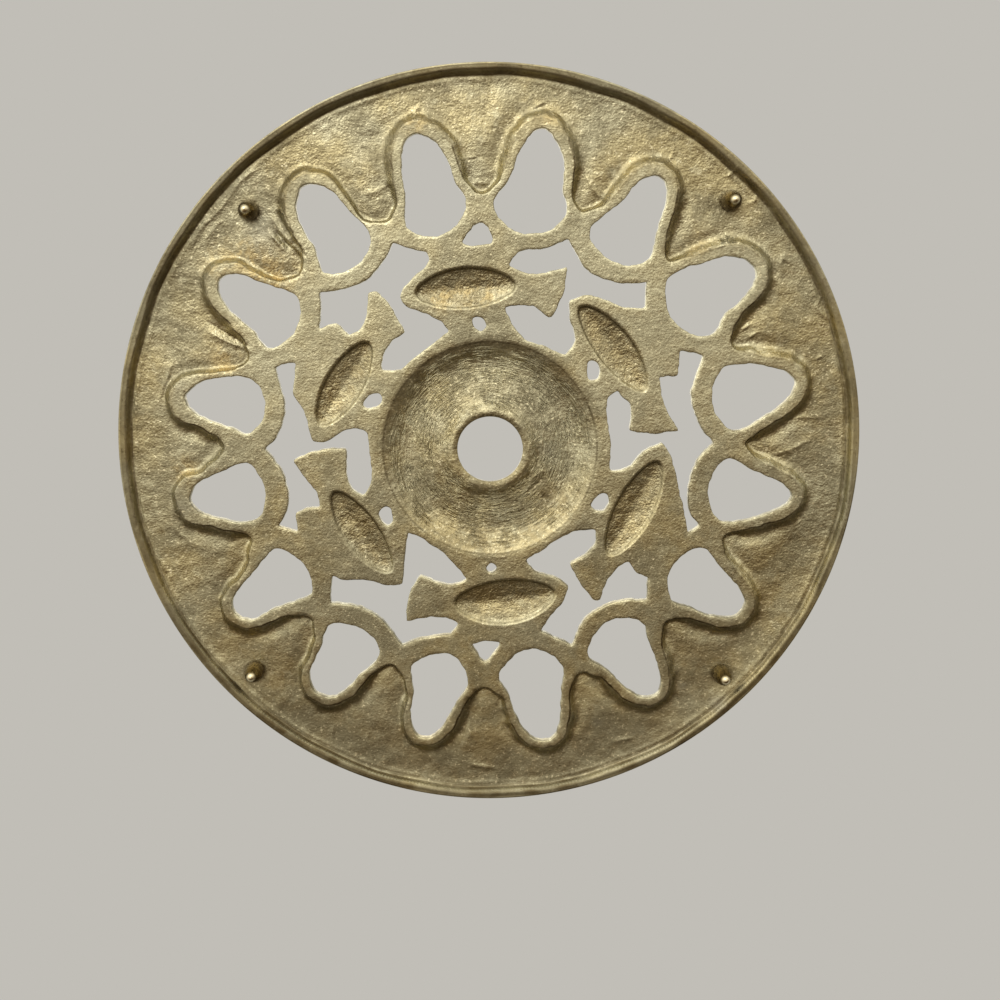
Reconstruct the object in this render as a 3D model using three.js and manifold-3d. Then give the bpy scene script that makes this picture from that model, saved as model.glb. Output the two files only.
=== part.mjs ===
// Footed brass trivet: a round sand-cast openwork plate standing on four turned peg feet.
// Millimetres. +Z is up, towards the side that carries the pot. The origin is on the table, under the hub.
// Outlines are drawn as the underside shows them: x to the right, y downwards, petals round a ring of fish.

import * as THREE from 'three';
import { mergeVertices } from 'three/addons/utils/BufferGeometryUtils.js';
import Module from 'manifold-3d';

const wasm = await Module();
wasm.setup();

// Overall sizes
const trivetDiameter = 190;
const flangeWidth = 15;
const latticeHeight = 4.5;
const latticeThickness = 2.4;

// Raised flange and rim
const flangeRise = 3;
const flangeThickness = 2.5;
const rimWidth = 2.4;
const rimWallSlope = 1.8;
const rimShoulder = 3.2;
const rimRound = 1.1;
const rimDrop = 2.2;
const petalBorder = 2.7;
const borderSlope = 1.5;
const frontBorder = 1.3;
const tongueLength = 15.4;
const tongueRound = 2.2;
const tongueWall = 1.4;
const tongueSlope = 1;
const tongueReach = 6;
const tongueFlare = THREE.MathUtils.degToRad(42);

// Hub
const hubHoleDiameter = 16.8;
const hubLipWidth = 1.4;
const hubRecessDiameter = 56;
const hubRingWidth = 1;
const hubWallSlope = 3.5;
const hubDepth = 3.4;
const hubFloorWidth = 3.5;
const hubConeWidth = 3;
const hubConeDepth = 2.4;
const hubShell = 2;
const hubRoll = 0.6;
const hubFrontMargin = 0.8;

// Fish bodies
const fishDepth = 2.4;
const fishShell = 2.2;
const fishDomeMargin = 0.9;
const fishFullness = 0.55;

// Peg feet
const footInset = 8.5;
const footBaseDiameter = 4.4;
const footTipDiameter = 3.1;
const footTipFlat = 1.4;
const footTipRound = 0.8;
const tenonDiameter = 2.6;
const tenonLength = 1.6;
const seatClearance = 0.3;

// Facets
const roundSegments = 72;
const hubSegments = 40;
const footSegments = 20;
const tongueSteps = 7;
const lensSteps = 16;
const stepsPerPoint = 2;
const roundSteps = 3;
const domeRings = 3;
const domeTurn = THREE.MathUtils.degToRad(68);
const cutMargin = 2;
const weldDistance = 1e-4;

// Feet by their bearing in degrees on the foot circle, with how far each strays from it, as set by eye
const footPlaces = [
  { name: 'foot_upper_left', bearing: -135.1, stray: -1.9 },
  { name: 'foot_upper_right', bearing: -45.9, stray: 0 },
  { name: 'foot_lower_left', bearing: 136.5, stray: -0.2 },
  { name: 'foot_lower_right', bearing: 44.5, stray: 0.1 },
];

// The outlines below are drawn for an openwork of this diameter and scaled to the one that is made
const drawnDiameter = 160;

// Sixteen petal openings, clockwise from the upper left, each a smooth loop through these points
const petalOpenings = [
  [[-46.4, -65.5], [-42.5, -65.8], [-38.3, -63.8], [-34.8, -59.6], [-29.6, -53.9], [-31.2, -48.4],
    [-35.3, -45.3], [-41.8, -44.5], [-43.4, -50], [-47.4, -56.8], [-48, -61.5]],
  [[-18.3, -78.1], [-14.3, -76.8], [-11, -73], [-8.5, -66.5], [-6.1, -62.8], [-6.5, -58.6],
    [-10.3, -54.5], [-14.8, -53.4], [-20.8, -55.6], [-21, -63], [-21.8, -70], [-20.8, -76]],
  [[13.5, -79.5], [16.5, -76.3], [18.5, -70.5], [18.2, -64.5], [19.1, -59.3], [16, -55.5],
    [10.5, -54], [6, -54.8], [1.3, -59.5], [0.8, -62.5], [4.2, -66], [7.5, -74.2], [10.6, -78.4]],
  [[41.2, -68.4], [43.5, -66.6], [43.8, -62.5], [41.8, -55], [40.1, -48.2], [38, -46.8],
    [34.5, -46.3], [29.5, -48.1], [25.3, -52.3], [24.9, -55.6], [32.5, -61.6], [35.5, -65.4], [38.5, -67.6]],
  [[44.7, -43.6], [55, -47.4], [60.5, -48.7], [65.5, -46.9], [66.9, -43.8], [64.5, -38.8],
    [58.6, -33.2], [57.7, -30.3], [54.6, -28.6], [49, -30.2], [45.2, -34.3], [44, -39.5]],
  [[60, -21.4], [69.5, -21.3], [75, -20], [78.1, -17], [76, -12.5], [69, -7.6], [62.6, -4.4],
    [58.8, -7.5], [56.6, -12], [57.2, -17.4]],
  [[62, 2.3], [66.5, 5], [74, 8.1], [78.5, 12], [76.5, 14.9], [69, 17.8], [60.4, 19.2],
    [57.2, 15.2], [56.5, 9.7], [59.4, 3.4]],
  [[56.4, 26.2], [60.5, 31.7], [65, 36.4], [67.3, 41], [64.5, 44.6], [58, 44.2], [52, 41.8],
    [48, 40.6], [46.4, 35.8], [47.6, 31], [52, 26.8]],
  [[36, 44.8], [31, 45.7], [27.5, 49.4], [25.7, 53.5], [26.4, 56.5], [30, 58.2], [36, 64.1],
    [41, 66.7], [44.6, 65.7], [45.4, 61.5], [43.2, 54.2], [41.2, 49], [40.6, 46.4]],
  [[12, 53.2], [7.2, 54.3], [3, 58.8], [2, 61.2], [4.6, 65.6], [7.3, 73], [10.3, 77.2],
    [14, 78.8], [17.6, 77], [18.7, 70], [18.9, 63.5], [19.4, 58.8], [16.6, 55]],
  [[-13.5, 54.3], [-18, 55.7], [-21.2, 58.3], [-20.4, 64], [-21.4, 71.5], [-20.2, 76.4],
    [-16.9, 78], [-13, 75], [-9.8, 69.3], [-6.2, 63.5], [-6.3, 60], [-9.8, 55]],
  [[-40, 45.8], [-43, 47], [-44.8, 52.8], [-47.7, 59], [-47.3, 63.8], [-43.2, 66.3],
    [-39.2, 65], [-34, 59.6], [-29.8, 56], [-29.4, 52.4], [-32.8, 48.2], [-36, 46.7]],
  [[-56, 25.9], [-52.5, 26.9], [-48.4, 30], [-46.7, 34], [-46.8, 38.3], [-50, 39.7],
    [-57, 42.2], [-63, 45], [-67, 43.3], [-67.2, 39], [-62, 32.4], [-58.6, 28.3]],
  [[-62.5, 3.2], [-68, 5.2], [-74, 7.9], [-77.6, 12], [-76.5, 15.2], [-71.5, 17.6], [-61, 18.7],
    [-58.4, 15], [-58.2, 9.8], [-60.2, 5.2]],
  [[-69, -18.3], [-60.3, -18.1], [-57.6, -14], [-57.4, -9.6], [-61.6, -3.9], [-65, -5.2],
    [-71.5, -7.6], [-76.3, -10.3], [-77.6, -13.6], [-74, -16.8]],
  [[-63, -44.1], [-67.3, -43.2], [-68.2, -40.4], [-65, -34.8], [-59, -29.4], [-56.8, -26],
    [-53.6, -26.2], [-49, -30.2], [-47.6, -34.5], [-48.6, -39], [-55, -41.3]],
];

// Six open spaces between the fish. Each inner list is a smooth run that starts at a corner.
const fishSpaces = [
  [
    [[-42.8, -39.9], [-37, -40.3], [-30.5, -43], [-26.4, -47.8]],
    [[-24.2, -52], [-20, -50.5]],
    [[-16, -49.6], [-15.2, -47.5], [-18.4, -44], [-21.8, -40.8]],
    [[-22.8, -38.5], [-20.5, -36], [-15.3, -34], [-12, -32.3]],
    [[-10.3, -30], [-14.5, -26.8], [-18.9, -23.6]],
    [[-22.6, -20.2]],
    [[-27.6, -20.2], [-26.9, -24], [-24.8, -27.4]],
    [[-21.3, -29.8], [-23.2, -33.2], [-26, -37.6]],
    [[-28.4, -39.9]],
    [[-30.5, -39.6], [-31.1, -34.2], [-33, -30.3]],
    [[-35.6, -29]],
    [[-38.8, -32.3], [-41, -31.6]],
    [[-43.1, -30.6], [-42.5, -34.3]],
  ],
  [
    [[4.9, -46.4], [5.8, -48.4]],
    [[8.2, -50], [14, -50.6]],
    [[19.7, -52.9], [21.4, -49.6], [24.2, -45.5], [29.5, -42.8], [35, -41.9]],
    [[39.5, -42.4]],
    [[39, -35.9], [33.5, -36.2], [29, -38], [24.2, -38.9]],
    [[20, -37.8], [20.3, -33], [21.5, -28]],
    [[19.2, -24], [14.5, -26]],
    [[8.8, -28], [6.3, -30.7]],
    [[3.7, -36], [7.5, -36.5], [11, -36.2]],
    [[15.2, -33.2], [17.4, -37], [19, -42]],
    [[19.3, -46], [14, -44.6], [9.5, -44.3]],
  ],
  [
    [[48, -25.2], [51, -24.7]],
    [[54.1, -23.8], [52.6, -19.2], [51.4, -14.5], [52.2, -9.9], [54.4, -5.2]],
    [[57.7, -1.5], [54.4, 1.3], [52, 7], [51.3, 11.5], [52, 16.7]],
    [[54.3, 20]],
    [[51.4, 22.2], [50.6, 17.5], [48.9, 11], [46.5, 2]],
    [[44.2, -1.7], [39.8, 0.4], [36, 4.5], [33.4, 5.5]],
    [[30.8, 5.4], [31, -0.5], [29.8, -9.5], [30.4, -13.7]],
    [[32.4, -15.1], [34.1, -13.2]],
    [[35.8, -11.8], [36, -8]],
    [[35.8, -4.6], [42, -4]],
    [[48.5, -4.8], [45.6, -9], [43.9, -13.5]],
    [[43.1, -18.6]],
    [[47.9, -18.7], [47.9, -22]],
  ],
  [
    [[9.3, 29], [13.3, 26.6], [19, 22.8], [23, 21.3]],
    [[27.2, 21.1], [27.5, 24], [25.3, 27.3]],
    [[20.6, 29.8], [23.3, 35]],
    [[27.1, 40.1]],
    [[28.7, 40.1], [30.3, 35.4], [33.2, 31.2]],
    [[36.4, 29.5], [38.3, 32.6]],
    [[41.3, 33.7]],
    [[41.2, 40.1], [36, 39.9], [30, 41.5], [24.6, 45.6]],
    [[21.6, 52.2], [16.5, 49.8]],
    [[13.3, 48.2], [15.6, 44.4], [19, 40.3]],
    [[20.5, 36.4], [16.8, 33.5], [11.6, 32.2]],
  ],
  [
    [[-21.3, 21.6], [-18.2, 23.1], [-12.4, 27], [-8.8, 30.6]],
    [[-6.2, 34.2], [-10.5, 35.9], [-14.5, 34.6]],
    [[-18.3, 33], [-20.8, 37], [-22.1, 42]],
    [[-22, 45.7], [-15.5, 44.3], [-10.8, 44.8]],
    [[-8.5, 46.2]],
    [[-10.3, 49.3], [-14.5, 49.5], [-19, 50.4]],
    [[-23.2, 52.3], [-27, 46.8], [-31.5, 42.8], [-37, 40.9]],
    [[-42, 40.6], [-41.5, 36]],
    [[-41.1, 33.2]],
    [[-38.4, 34.2], [-33, 34.2], [-27.5, 35.6]],
    [[-23, 35.5], [-22.4, 28]],
  ],
  [
    [[-54.4, -20.8], [-52, -21.9]],
    [[-49.2, -22], [-49.7, -18]],
    [[-50.1, -14.2], [-47.6, -10]],
    [[-45.3, -2], [-42, -2], [-38.2, -4.3], [-34.5, -5.4]],
    [[-31.4, -4.6], [-30.8, 1], [-30.6, 8]],
    [[-32.8, 12], [-35.9, 9.7], [-37, 5]],
    [[-36.9, 0], [-41, -0.3], [-47, 1]],
    [[-50.7, 2.7], [-47.5, 7.4]],
    [[-44.6, 11]],
    [[-44, 15], [-47.5, 15.2]],
    [[-50.5, 16.6]],
    [[-49.8, 21.4]],
    [[-55, 20], [-52.6, 15.4], [-52.4, 9.6], [-54, 4.8]],
    [[-57.7, 0], [-54.4, -3.7], [-52.4, -9.5], [-52.9, -14.5]],
  ],
];

// Small pierced eyelets by the hub and the two triangles that tie the top and bottom fish to the petals
const eyelets = [
  [[-4.6, -33.2], [-2.4, -33.6], [-0.9, -31.3], [-2, -29.9], [-3.8, -30.8]],
  [[25.2, -22.6], [27, -22.1], [27.9, -20.1], [27.2, -18], [25.4, -17.6], [24.5, -19.5]],
  [[28.7, 11.5], [30.3, 11.7], [30.8, 13.5], [29.8, 16], [27.5, 16], [26, 14.6]],
  [[0.4, 29.7], [1.9, 31.2], [0.4, 32.7], [-1.1, 31.2]],
  [[-27, 14.7], [-25.5, 16], [-25.3, 18.1], [-26.4, 20], [-29.1, 16.8]],
  [[-29.7, -14.5], [-27.9, -14], [-27.7, -12.2], [-31, -10.5], [-32.3, -11.4], [-31.6, -13.2]],
  [[-2.8, -56.9], [-4.4, -55.5], [-7, -52], [-5.6, -51.4], [0.4, -51.7], [0.6, -53.6], [-1.4, -56.6]],
  [[-4.9, 51.9], [-1, 51], [2.6, 51.4], [0.6, 54.4], [-1.6, 56.8], [-3.4, 54.5]],
];

// Six fish bodies: an almond from nose to tail, with its half widths on the outer and inner side
const fishBodies = [
  { nose: [-19.2, -39.2], tail: [7.0, -41.4], outer: 5.8, inner: 4.7 },
  { nose: [22.2, -36.4], tail: [39.7, -14.6], outer: 5.6, inner: 4.2 },
  { nose: [43.6, 2.8], tail: [30.6, 28.2], outer: 5.4, inner: 4.9 },
  { nose: [17.4, 37.8], tail: [-9.8, 40.6], outer: 7.3, inner: 5.0 },
  { nose: [-25.8, 32.4], tail: [-40.6, 10.6], outer: 5.3, inner: 4.6 },
  { nose: [-43.8, -6.0], tail: [-30.4, -27.6], outer: 4.9, inner: 5.1 },
];

// Levels and radii that follow from the sizes above
const rimRadius = trivetDiameter / 2;
const openworkRadius = rimRadius - flangeWidth;
const openworkScale = (2 * openworkRadius) / drawnDiameter;
const latticeBack = latticeHeight;
const latticeFront = latticeBack + latticeThickness;
const flangeBack = latticeBack + flangeRise;
const flangeFront = flangeBack + flangeThickness;
const tongueEndRadius = openworkRadius - tongueLength + tongueRound;
const flangeInnerRadius = tongueEndRadius + tongueReach - cutMargin;
const hubRecessRadius = hubRecessDiameter / 2;
const hubBowlRadius = hubRecessRadius - hubWallSlope - hubFloorWidth;
const hubEyeRadius = hubHoleDiameter / 2 + hubLipWidth;
const hubConeRadius = hubEyeRadius + hubConeWidth;
const footCircleRadius = rimRadius - footInset;
const belowAll = latticeBack - cutMargin;
const aboveAll = flangeFront + cutMargin;

function toPoint([x, y]) {
  return new THREE.Vector3(x * openworkScale, y * openworkScale, 0);
}

function smoothLoop(points) {
  const curve = new THREE.CatmullRomCurve3(points.map(toPoint), true, 'centripetal');
  return anticlockwise(curve.getPoints(points.length * stepsPerPoint).slice(0, -1));
}

function corneredLoop(runs) {
  const loop = [];
  runs.forEach((run, index) => {
    const next = runs[(index + 1) % runs.length][0];
    const points = [...run, next].map(toPoint);
    if (points.length === 2) {
      loop.push(points[0]);
      return;
    }
    const curve = new THREE.CatmullRomCurve3(points, false, 'centripetal');
    loop.push(...curve.getPoints((points.length - 1) * stepsPerPoint).slice(0, -1));
  });
  return anticlockwise(loop);
}

function anticlockwise(loop) {
  return THREE.ShapeUtils.isClockWise(loop) ? loop.reverse() : loop;
}

// The loop moved outwards by a distance, each point along the bisector of its two edges
function offsetLoop(loop, distance) {
  return loop.map((point, index) => {
    const before = loop[(index + loop.length - 1) % loop.length];
    const after = loop[(index + 1) % loop.length];
    const along = after.clone().sub(before).normalize();
    return new THREE.Vector3(point.x + along.y * distance, point.y - along.x * distance, 0);
  });
}

function middleOf(loop) {
  return loop.reduce((sum, point) => sum.add(point), new THREE.Vector3()).divideScalar(loop.length);
}

function scaledLoop(loop, centre, factor) {
  return loop.map((point) => point.clone().sub(centre).multiplyScalar(factor).add(centre));
}

// A tongue's outline: a round end towards the hub, and two sides that flare outwards from it
function tongueLoop(end, radius) {
  const outward = Math.atan2(end.y, end.x);
  const firstTurn = Math.PI / 2 + tongueFlare;
  const lastTurn = 2 * Math.PI - firstTurn;
  const loop = [];
  for (let step = 0; step <= tongueSteps; step += 1) {
    const turn = outward + THREE.MathUtils.lerp(firstTurn, lastTurn, step / tongueSteps);
    loop.push(new THREE.Vector3(end.x + radius * Math.cos(turn), end.y + radius * Math.sin(turn), 0));
  }
  const sideLength = (tongueReach + radius * Math.sin(tongueFlare)) / Math.cos(tongueFlare);
  const farEnds = [
    { from: loop.at(-1), turn: outward - tongueFlare },
    { from: loop[0], turn: outward + tongueFlare },
  ];
  for (const { from, turn } of farEnds) {
    const side = new THREE.Vector3(Math.cos(turn), Math.sin(turn), 0);
    loop.push(from.clone().addScaledVector(side, sideLength));
  }
  return anticlockwise(loop);
}

// A fish body's almond outline from its nose, its tail and its two half widths
function almondLoop({ nose, tail, outer, inner }) {
  const start = toPoint(nose);
  const end = toPoint(tail);
  const along = end.clone().sub(start);
  const across = new THREE.Vector3(-along.y, along.x, 0).normalize();
  const middle = start.clone().add(end).multiplyScalar(0.5);
  const outerSign = Math.sign(across.dot(middle));
  const loop = [];
  for (let step = 0; step < lensSteps; step += 1) {
    const turn = (2 * Math.PI * step) / lensSteps;
    const place = (1 - Math.cos(turn)) / 2;
    const side = Math.sin(turn) >= 0 ? 1 : -1;
    const halfWidth = (side * outerSign > 0 ? outer : inner) * openworkScale;
    const swell = halfWidth * Math.sin(Math.PI * place) ** fishFullness;
    loop.push(start.clone().addScaledVector(along, place).addScaledVector(across, side * swell));
  }
  return anticlockwise(loop);
}

// A closed solid lofted through loops of equal point counts, each at its own height
function loft(levels) {
  const count = levels[0].loop.length;
  const positions = levels.flatMap(({ loop, z }) => loop.flatMap((point) => [point.x, point.y, z]));
  const indices = [];
  for (let level = 0; level < levels.length - 1; level += 1) {
    for (let i = 0; i < count; i += 1) {
      const a = level * count + i;
      const b = level * count + ((i + 1) % count);
      indices.push(a, b, b + count, a, b + count, a + count);
    }
  }
  const top = (levels.length - 1) * count;
  for (const [a, b, c] of THREE.ShapeUtils.triangulateShape(levels[0].loop, [])) {
    indices.push(a, c, b);
  }
  for (const [a, b, c] of THREE.ShapeUtils.triangulateShape(levels.at(-1).loop, [])) {
    indices.push(top + a, top + b, top + c);
  }
  const geometry = new THREE.BufferGeometry();
  geometry.setAttribute('position', new THREE.Float32BufferAttribute(positions, 3));
  geometry.setIndex(indices);
  return geometry;
}

function prism(loop, low, high) {
  return new THREE.ExtrudeGeometry(new THREE.Shape(loop), { depth: high - low, bevelEnabled: false })
    .translate(0, 0, low);
}

// A revolve about Z of a profile listed as [radius, height], anticlockwise in that plane
function revolve(profile, segments) {
  const points = profile.map(([radius, height]) => new THREE.Vector2(radius, height));
  return new THREE.LatheGeometry(points, segments).rotateX(Math.PI / 2);
}

function toSolid(geometry) {
  const bare = geometry.clone();
  bare.deleteAttribute('normal');
  bare.deleteAttribute('uv');
  const merged = mergeVertices(bare, weldDistance);
  const index = merged.index.array;
  const triangles = [];
  for (let i = 0; i < index.length; i += 3) {
    const [a, b, c] = index.slice(i, i + 3);
    if (a !== b && b !== c && c !== a) {
      triangles.push(a, b, c);
    }
  }
  return new wasm.Manifold(new wasm.Mesh({
    numProp: 3,
    vertProperties: new Float32Array(merged.attributes.position.array),
    triVerts: new Uint32Array(triangles),
  }));
}

function toGeometry(solid) {
  const { vertProperties, triVerts } = solid.getMesh();
  const geometry = new THREE.BufferGeometry();
  geometry.setAttribute('position', new THREE.Float32BufferAttribute(vertProperties, 3));
  geometry.setIndex(new THREE.Uint32BufferAttribute(triVerts, 1));
  geometry.computeVertexNormals();
  return geometry;
}

function join(geometries) {
  return wasm.Manifold.union(geometries.map(toSolid));
}

// The lattice: a plain disc at the level of the petal borders, the fish and the hub ring
function latticeDisc() {
  const radius = flangeInnerRadius + cutMargin;
  return revolve([[0, latticeBack], [radius, latticeBack], [radius, latticeFront], [0, latticeFront]],
    roundSegments);
}

// Points along a quarter of an ellipse in the radius and height plane, between two turns
function quarterRound(centreRadius, centreHeight, reachRadius, reachHeight, fromTurn) {
  return Array.from({ length: roundSteps + 1 }, (_, step) => {
    const turn = fromTurn + (Math.PI / 2) * (step / roundSteps);
    return [centreRadius + reachRadius * Math.cos(turn), centreHeight + reachHeight * Math.sin(turn)];
  });
}

// The flange: a raised ring whose shoulder rolls down into the rim
function flangeRing() {
  const lip = quarterRound(rimRadius - rimRound, latticeBack + rimRound, rimRound, rimRound, -Math.PI / 2);
  const shoulder = quarterRound(rimRadius - rimShoulder, flangeFront - rimDrop, rimShoulder, rimDrop, 0);
  const innerTop = [flangeInnerRadius, flangeFront];
  const innerBase = [flangeInnerRadius, latticeBack];
  return revolve([innerBase, ...lip, ...shoulder, innerTop, innerBase], roundSegments);
}

// The trough behind the flange, out to the sloped wall of the rim
function flangeTrough() {
  const wallRadius = rimRadius - rimWidth;
  return revolve([
    [flangeInnerRadius, belowAll],
    [wallRadius, belowAll],
    [wallRadius, latticeBack],
    [wallRadius - rimWallSlope, flangeBack],
    [flangeInnerRadius, flangeBack],
    [flangeInnerRadius, belowAll],
  ], roundSegments);
}

// Between two petals the flange runs inwards as a tongue. Its round end turns about this point.
function tongueEnd(petal, nextPetal) {
  return middleOf(petal).add(middleOf(nextPetal)).setLength(tongueEndRadius);
}

// A tongue on the front, which stands above the lattice with a sloped edge
function tongueCap(end) {
  const radius = tongueRound + tongueWall;
  return loft([
    { loop: tongueLoop(end, radius), z: latticeBack },
    { loop: tongueLoop(end, radius), z: latticeFront },
    { loop: tongueLoop(end, radius - tongueSlope), z: flangeFront },
  ]);
}

// The trough inside a tongue
function tonguePocket(end) {
  return loft([
    { loop: tongueLoop(end, tongueRound), z: belowAll },
    { loop: tongueLoop(end, tongueRound), z: latticeBack },
    { loop: tongueLoop(end, tongueRound - tongueSlope), z: flangeBack },
  ]);
}

// What a petal's border keeps clear of the trough behind the flange
function petalWall(loop) {
  return loft([
    { loop: offsetLoop(loop, petalBorder), z: belowAll },
    { loop: offsetLoop(loop, petalBorder), z: latticeBack },
    { loop: offsetLoop(loop, petalBorder + borderSlope), z: flangeBack },
    { loop: offsetLoop(loop, petalBorder + borderSlope), z: aboveAll },
  ]);
}

// The sunk seat round a petal opening on the front, down to the level of the lattice
function petalDip(loop) {
  return loft([
    { loop: offsetLoop(loop, frontBorder), z: latticeFront },
    { loop: offsetLoop(loop, frontBorder + borderSlope), z: flangeFront },
    { loop: offsetLoop(loop, frontBorder + borderSlope), z: aboveAll },
  ]);
}

// A domed almond that rises from a loop through rings that shrink as they climb
function dome(loop, base, foot, rise) {
  const centre = middleOf(loop);
  const levels = [{ loop, z: base }];
  for (let ring = 0; ring <= domeRings; ring += 1) {
    const turn = (domeTurn * ring) / domeRings;
    const z = foot + (rise * Math.sin(turn)) / Math.sin(domeTurn);
    levels.push({ loop: scaledLoop(loop, centre, Math.cos(turn)), z });
  }
  return loft(levels);
}

function fishHollow(body) {
  return dome(almondLoop(body), belowAll, latticeBack, fishDepth);
}

function fishSwell(body) {
  const rise = fishDepth + fishShell - latticeThickness;
  return dome(offsetLoop(almondLoop(body), fishDomeMargin), latticeBack, latticeFront, rise);
}

// The hub's raised ring on the front, solid to the middle until its hollow is cut
function hubSwell() {
  const crest = latticeBack + hubDepth + hubShell;
  const eyeHeight = latticeBack + hubShell;
  return revolve([
    [0, latticeBack],
    [hubRecessRadius + cutMargin, latticeBack],
    [hubRecessRadius + cutMargin, latticeFront],
    [hubRecessRadius + hubFrontMargin, latticeFront],
    [hubRecessRadius - hubWallSlope + hubFrontMargin, crest - hubRoll],
    [hubBowlRadius + hubFrontMargin, crest],
    [hubBowlRadius - hubFrontMargin, crest],
    [hubConeRadius - hubFrontMargin, eyeHeight + hubConeDepth],
    [hubEyeRadius - hubFrontMargin, eyeHeight],
    [0, eyeHeight],
  ], hubSegments);
}

// The bowl behind the hub, with a cone that comes back down to the lip of the eye
function hubBowl() {
  const deepest = latticeBack + hubDepth;
  return revolve([
    [hubEyeRadius, belowAll],
    [hubRecessRadius, belowAll],
    [hubRecessRadius, latticeBack],
    [hubRecessRadius - hubWallSlope, deepest - hubRoll],
    [hubBowlRadius, deepest],
    [hubConeRadius, latticeBack + hubConeDepth],
    [hubEyeRadius, latticeBack],
    [hubEyeRadius, belowAll],
  ], hubSegments);
}

function hubEye() {
  const radius = hubHoleDiameter / 2;
  return new THREE.CylinderGeometry(radius, radius, aboveAll - belowAll, hubSegments)
    .rotateX(Math.PI / 2)
    .translate(0, 0, (aboveAll + belowAll) / 2);
}

// The ring round the hub's recess that no space between the fish may cut into
function hubRing() {
  const radius = hubRecessRadius + hubRingWidth;
  return new THREE.CylinderGeometry(radius, radius, aboveAll - belowAll + 2 * cutMargin, hubSegments)
    .rotateX(Math.PI / 2)
    .translate(0, 0, (aboveAll + belowAll) / 2);
}

function footPosition({ bearing, stray }) {
  const turn = THREE.MathUtils.degToRad(bearing);
  return new THREE.Vector3(Math.cos(turn), Math.sin(turn), 0).multiplyScalar(footCircleRadius + stray);
}

// The drilled seat of one foot's tenon, blind so that nothing shows on the front
function tenonSeat(place) {
  const depth = tenonLength + seatClearance;
  const radius = tenonDiameter / 2 + seatClearance;
  const { x, y } = footPosition(place);
  return new THREE.CylinderGeometry(radius, radius, depth + cutMargin, footSegments)
    .rotateX(Math.PI / 2)
    .translate(x, y, flangeBack + (depth - cutMargin) / 2);
}

function piercing(loop) {
  return prism(loop, belowAll, aboveAll);
}

function castPlate() {
  const petals = petalOpenings.map(smoothLoop);
  const fishwork = [...fishSpaces.map(corneredLoop), ...eyelets.map(smoothLoop)];
  const tongues = petals.map((petal, index) => tongueEnd(petal, petals[(index + 1) % petals.length]));
  const flange = toSolid(flangeRing())
    .add(join(tongues.map(tongueCap)))
    .subtract(join(petals.map(petalDip)));
  const trough = toSolid(flangeTrough())
    .add(join(tongues.map(tonguePocket)))
    .subtract(join(petals.map(petalWall)));
  return toSolid(latticeDisc())
    .add(flange)
    .add(join(fishBodies.map(fishSwell)))
    .add(toSolid(hubSwell()))
    .subtract(trough)
    .subtract(join(fishBodies.map(fishHollow)))
    .subtract(toSolid(hubBowl()))
    .subtract(toSolid(hubEye()))
    .subtract(join(petals.map(piercing)))
    .subtract(join(fishwork.map(piercing)).subtract(toSolid(hubRing())))
    .subtract(join(footPlaces.map(tenonSeat)));
}

// One turned peg, from its domed tip up to the tenon that sits in the flange
function pegFoot() {
  const tipRadius = footTipDiameter / 2;
  const shoulder = flangeBack - seatClearance;
  const flat = footTipFlat / 2;
  const tip = quarterRound(flat, footTipRound, tipRadius - flat, footTipRound, -Math.PI / 2);
  return revolve([
    [0, 0],
    ...tip,
    [footBaseDiameter / 2, shoulder],
    [tenonDiameter / 2, shoulder],
    [tenonDiameter / 2, flangeBack + tenonLength],
    [0, flangeBack + tenonLength],
  ], footSegments);
}

const castBrass = new THREE.MeshStandardMaterial({ color: '#9c8f70', roughness: 0.5, metalness: 1 });
const turnedBrass = new THREE.MeshStandardMaterial({ color: '#6d5a38', roughness: 0.3, metalness: 1 });

const trivet = new THREE.Group();
trivet.name = 'trivet';

const plate = new THREE.Mesh(toGeometry(castPlate()), castBrass);
plate.name = 'cast_plate';
trivet.add(plate);

for (const place of footPlaces) {
  const foot = new THREE.Mesh(pegFoot(), turnedBrass.clone());
  foot.name = place.name;
  foot.position.copy(footPosition(place));
  trivet.add(foot);
}

export default trivet;
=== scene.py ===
"""Dressing of a footed brass trivet: a sand-cast openwork plate on four turned peg feet.

Lengths in the classes are millimetres and meshes are in metres. X runs to the right and Y down the
picture of the underside, Z runs up from the table through the feet, so the foot side has the low Z.
"""

import logging
from dataclasses import dataclass, field
from enum import Enum
from functools import reduce
from typing import Callable, Sequence

import bpy
import numpy as np
from mathutils import Matrix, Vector
from mathutils.geometry import delaunay_2d_cdt

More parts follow.
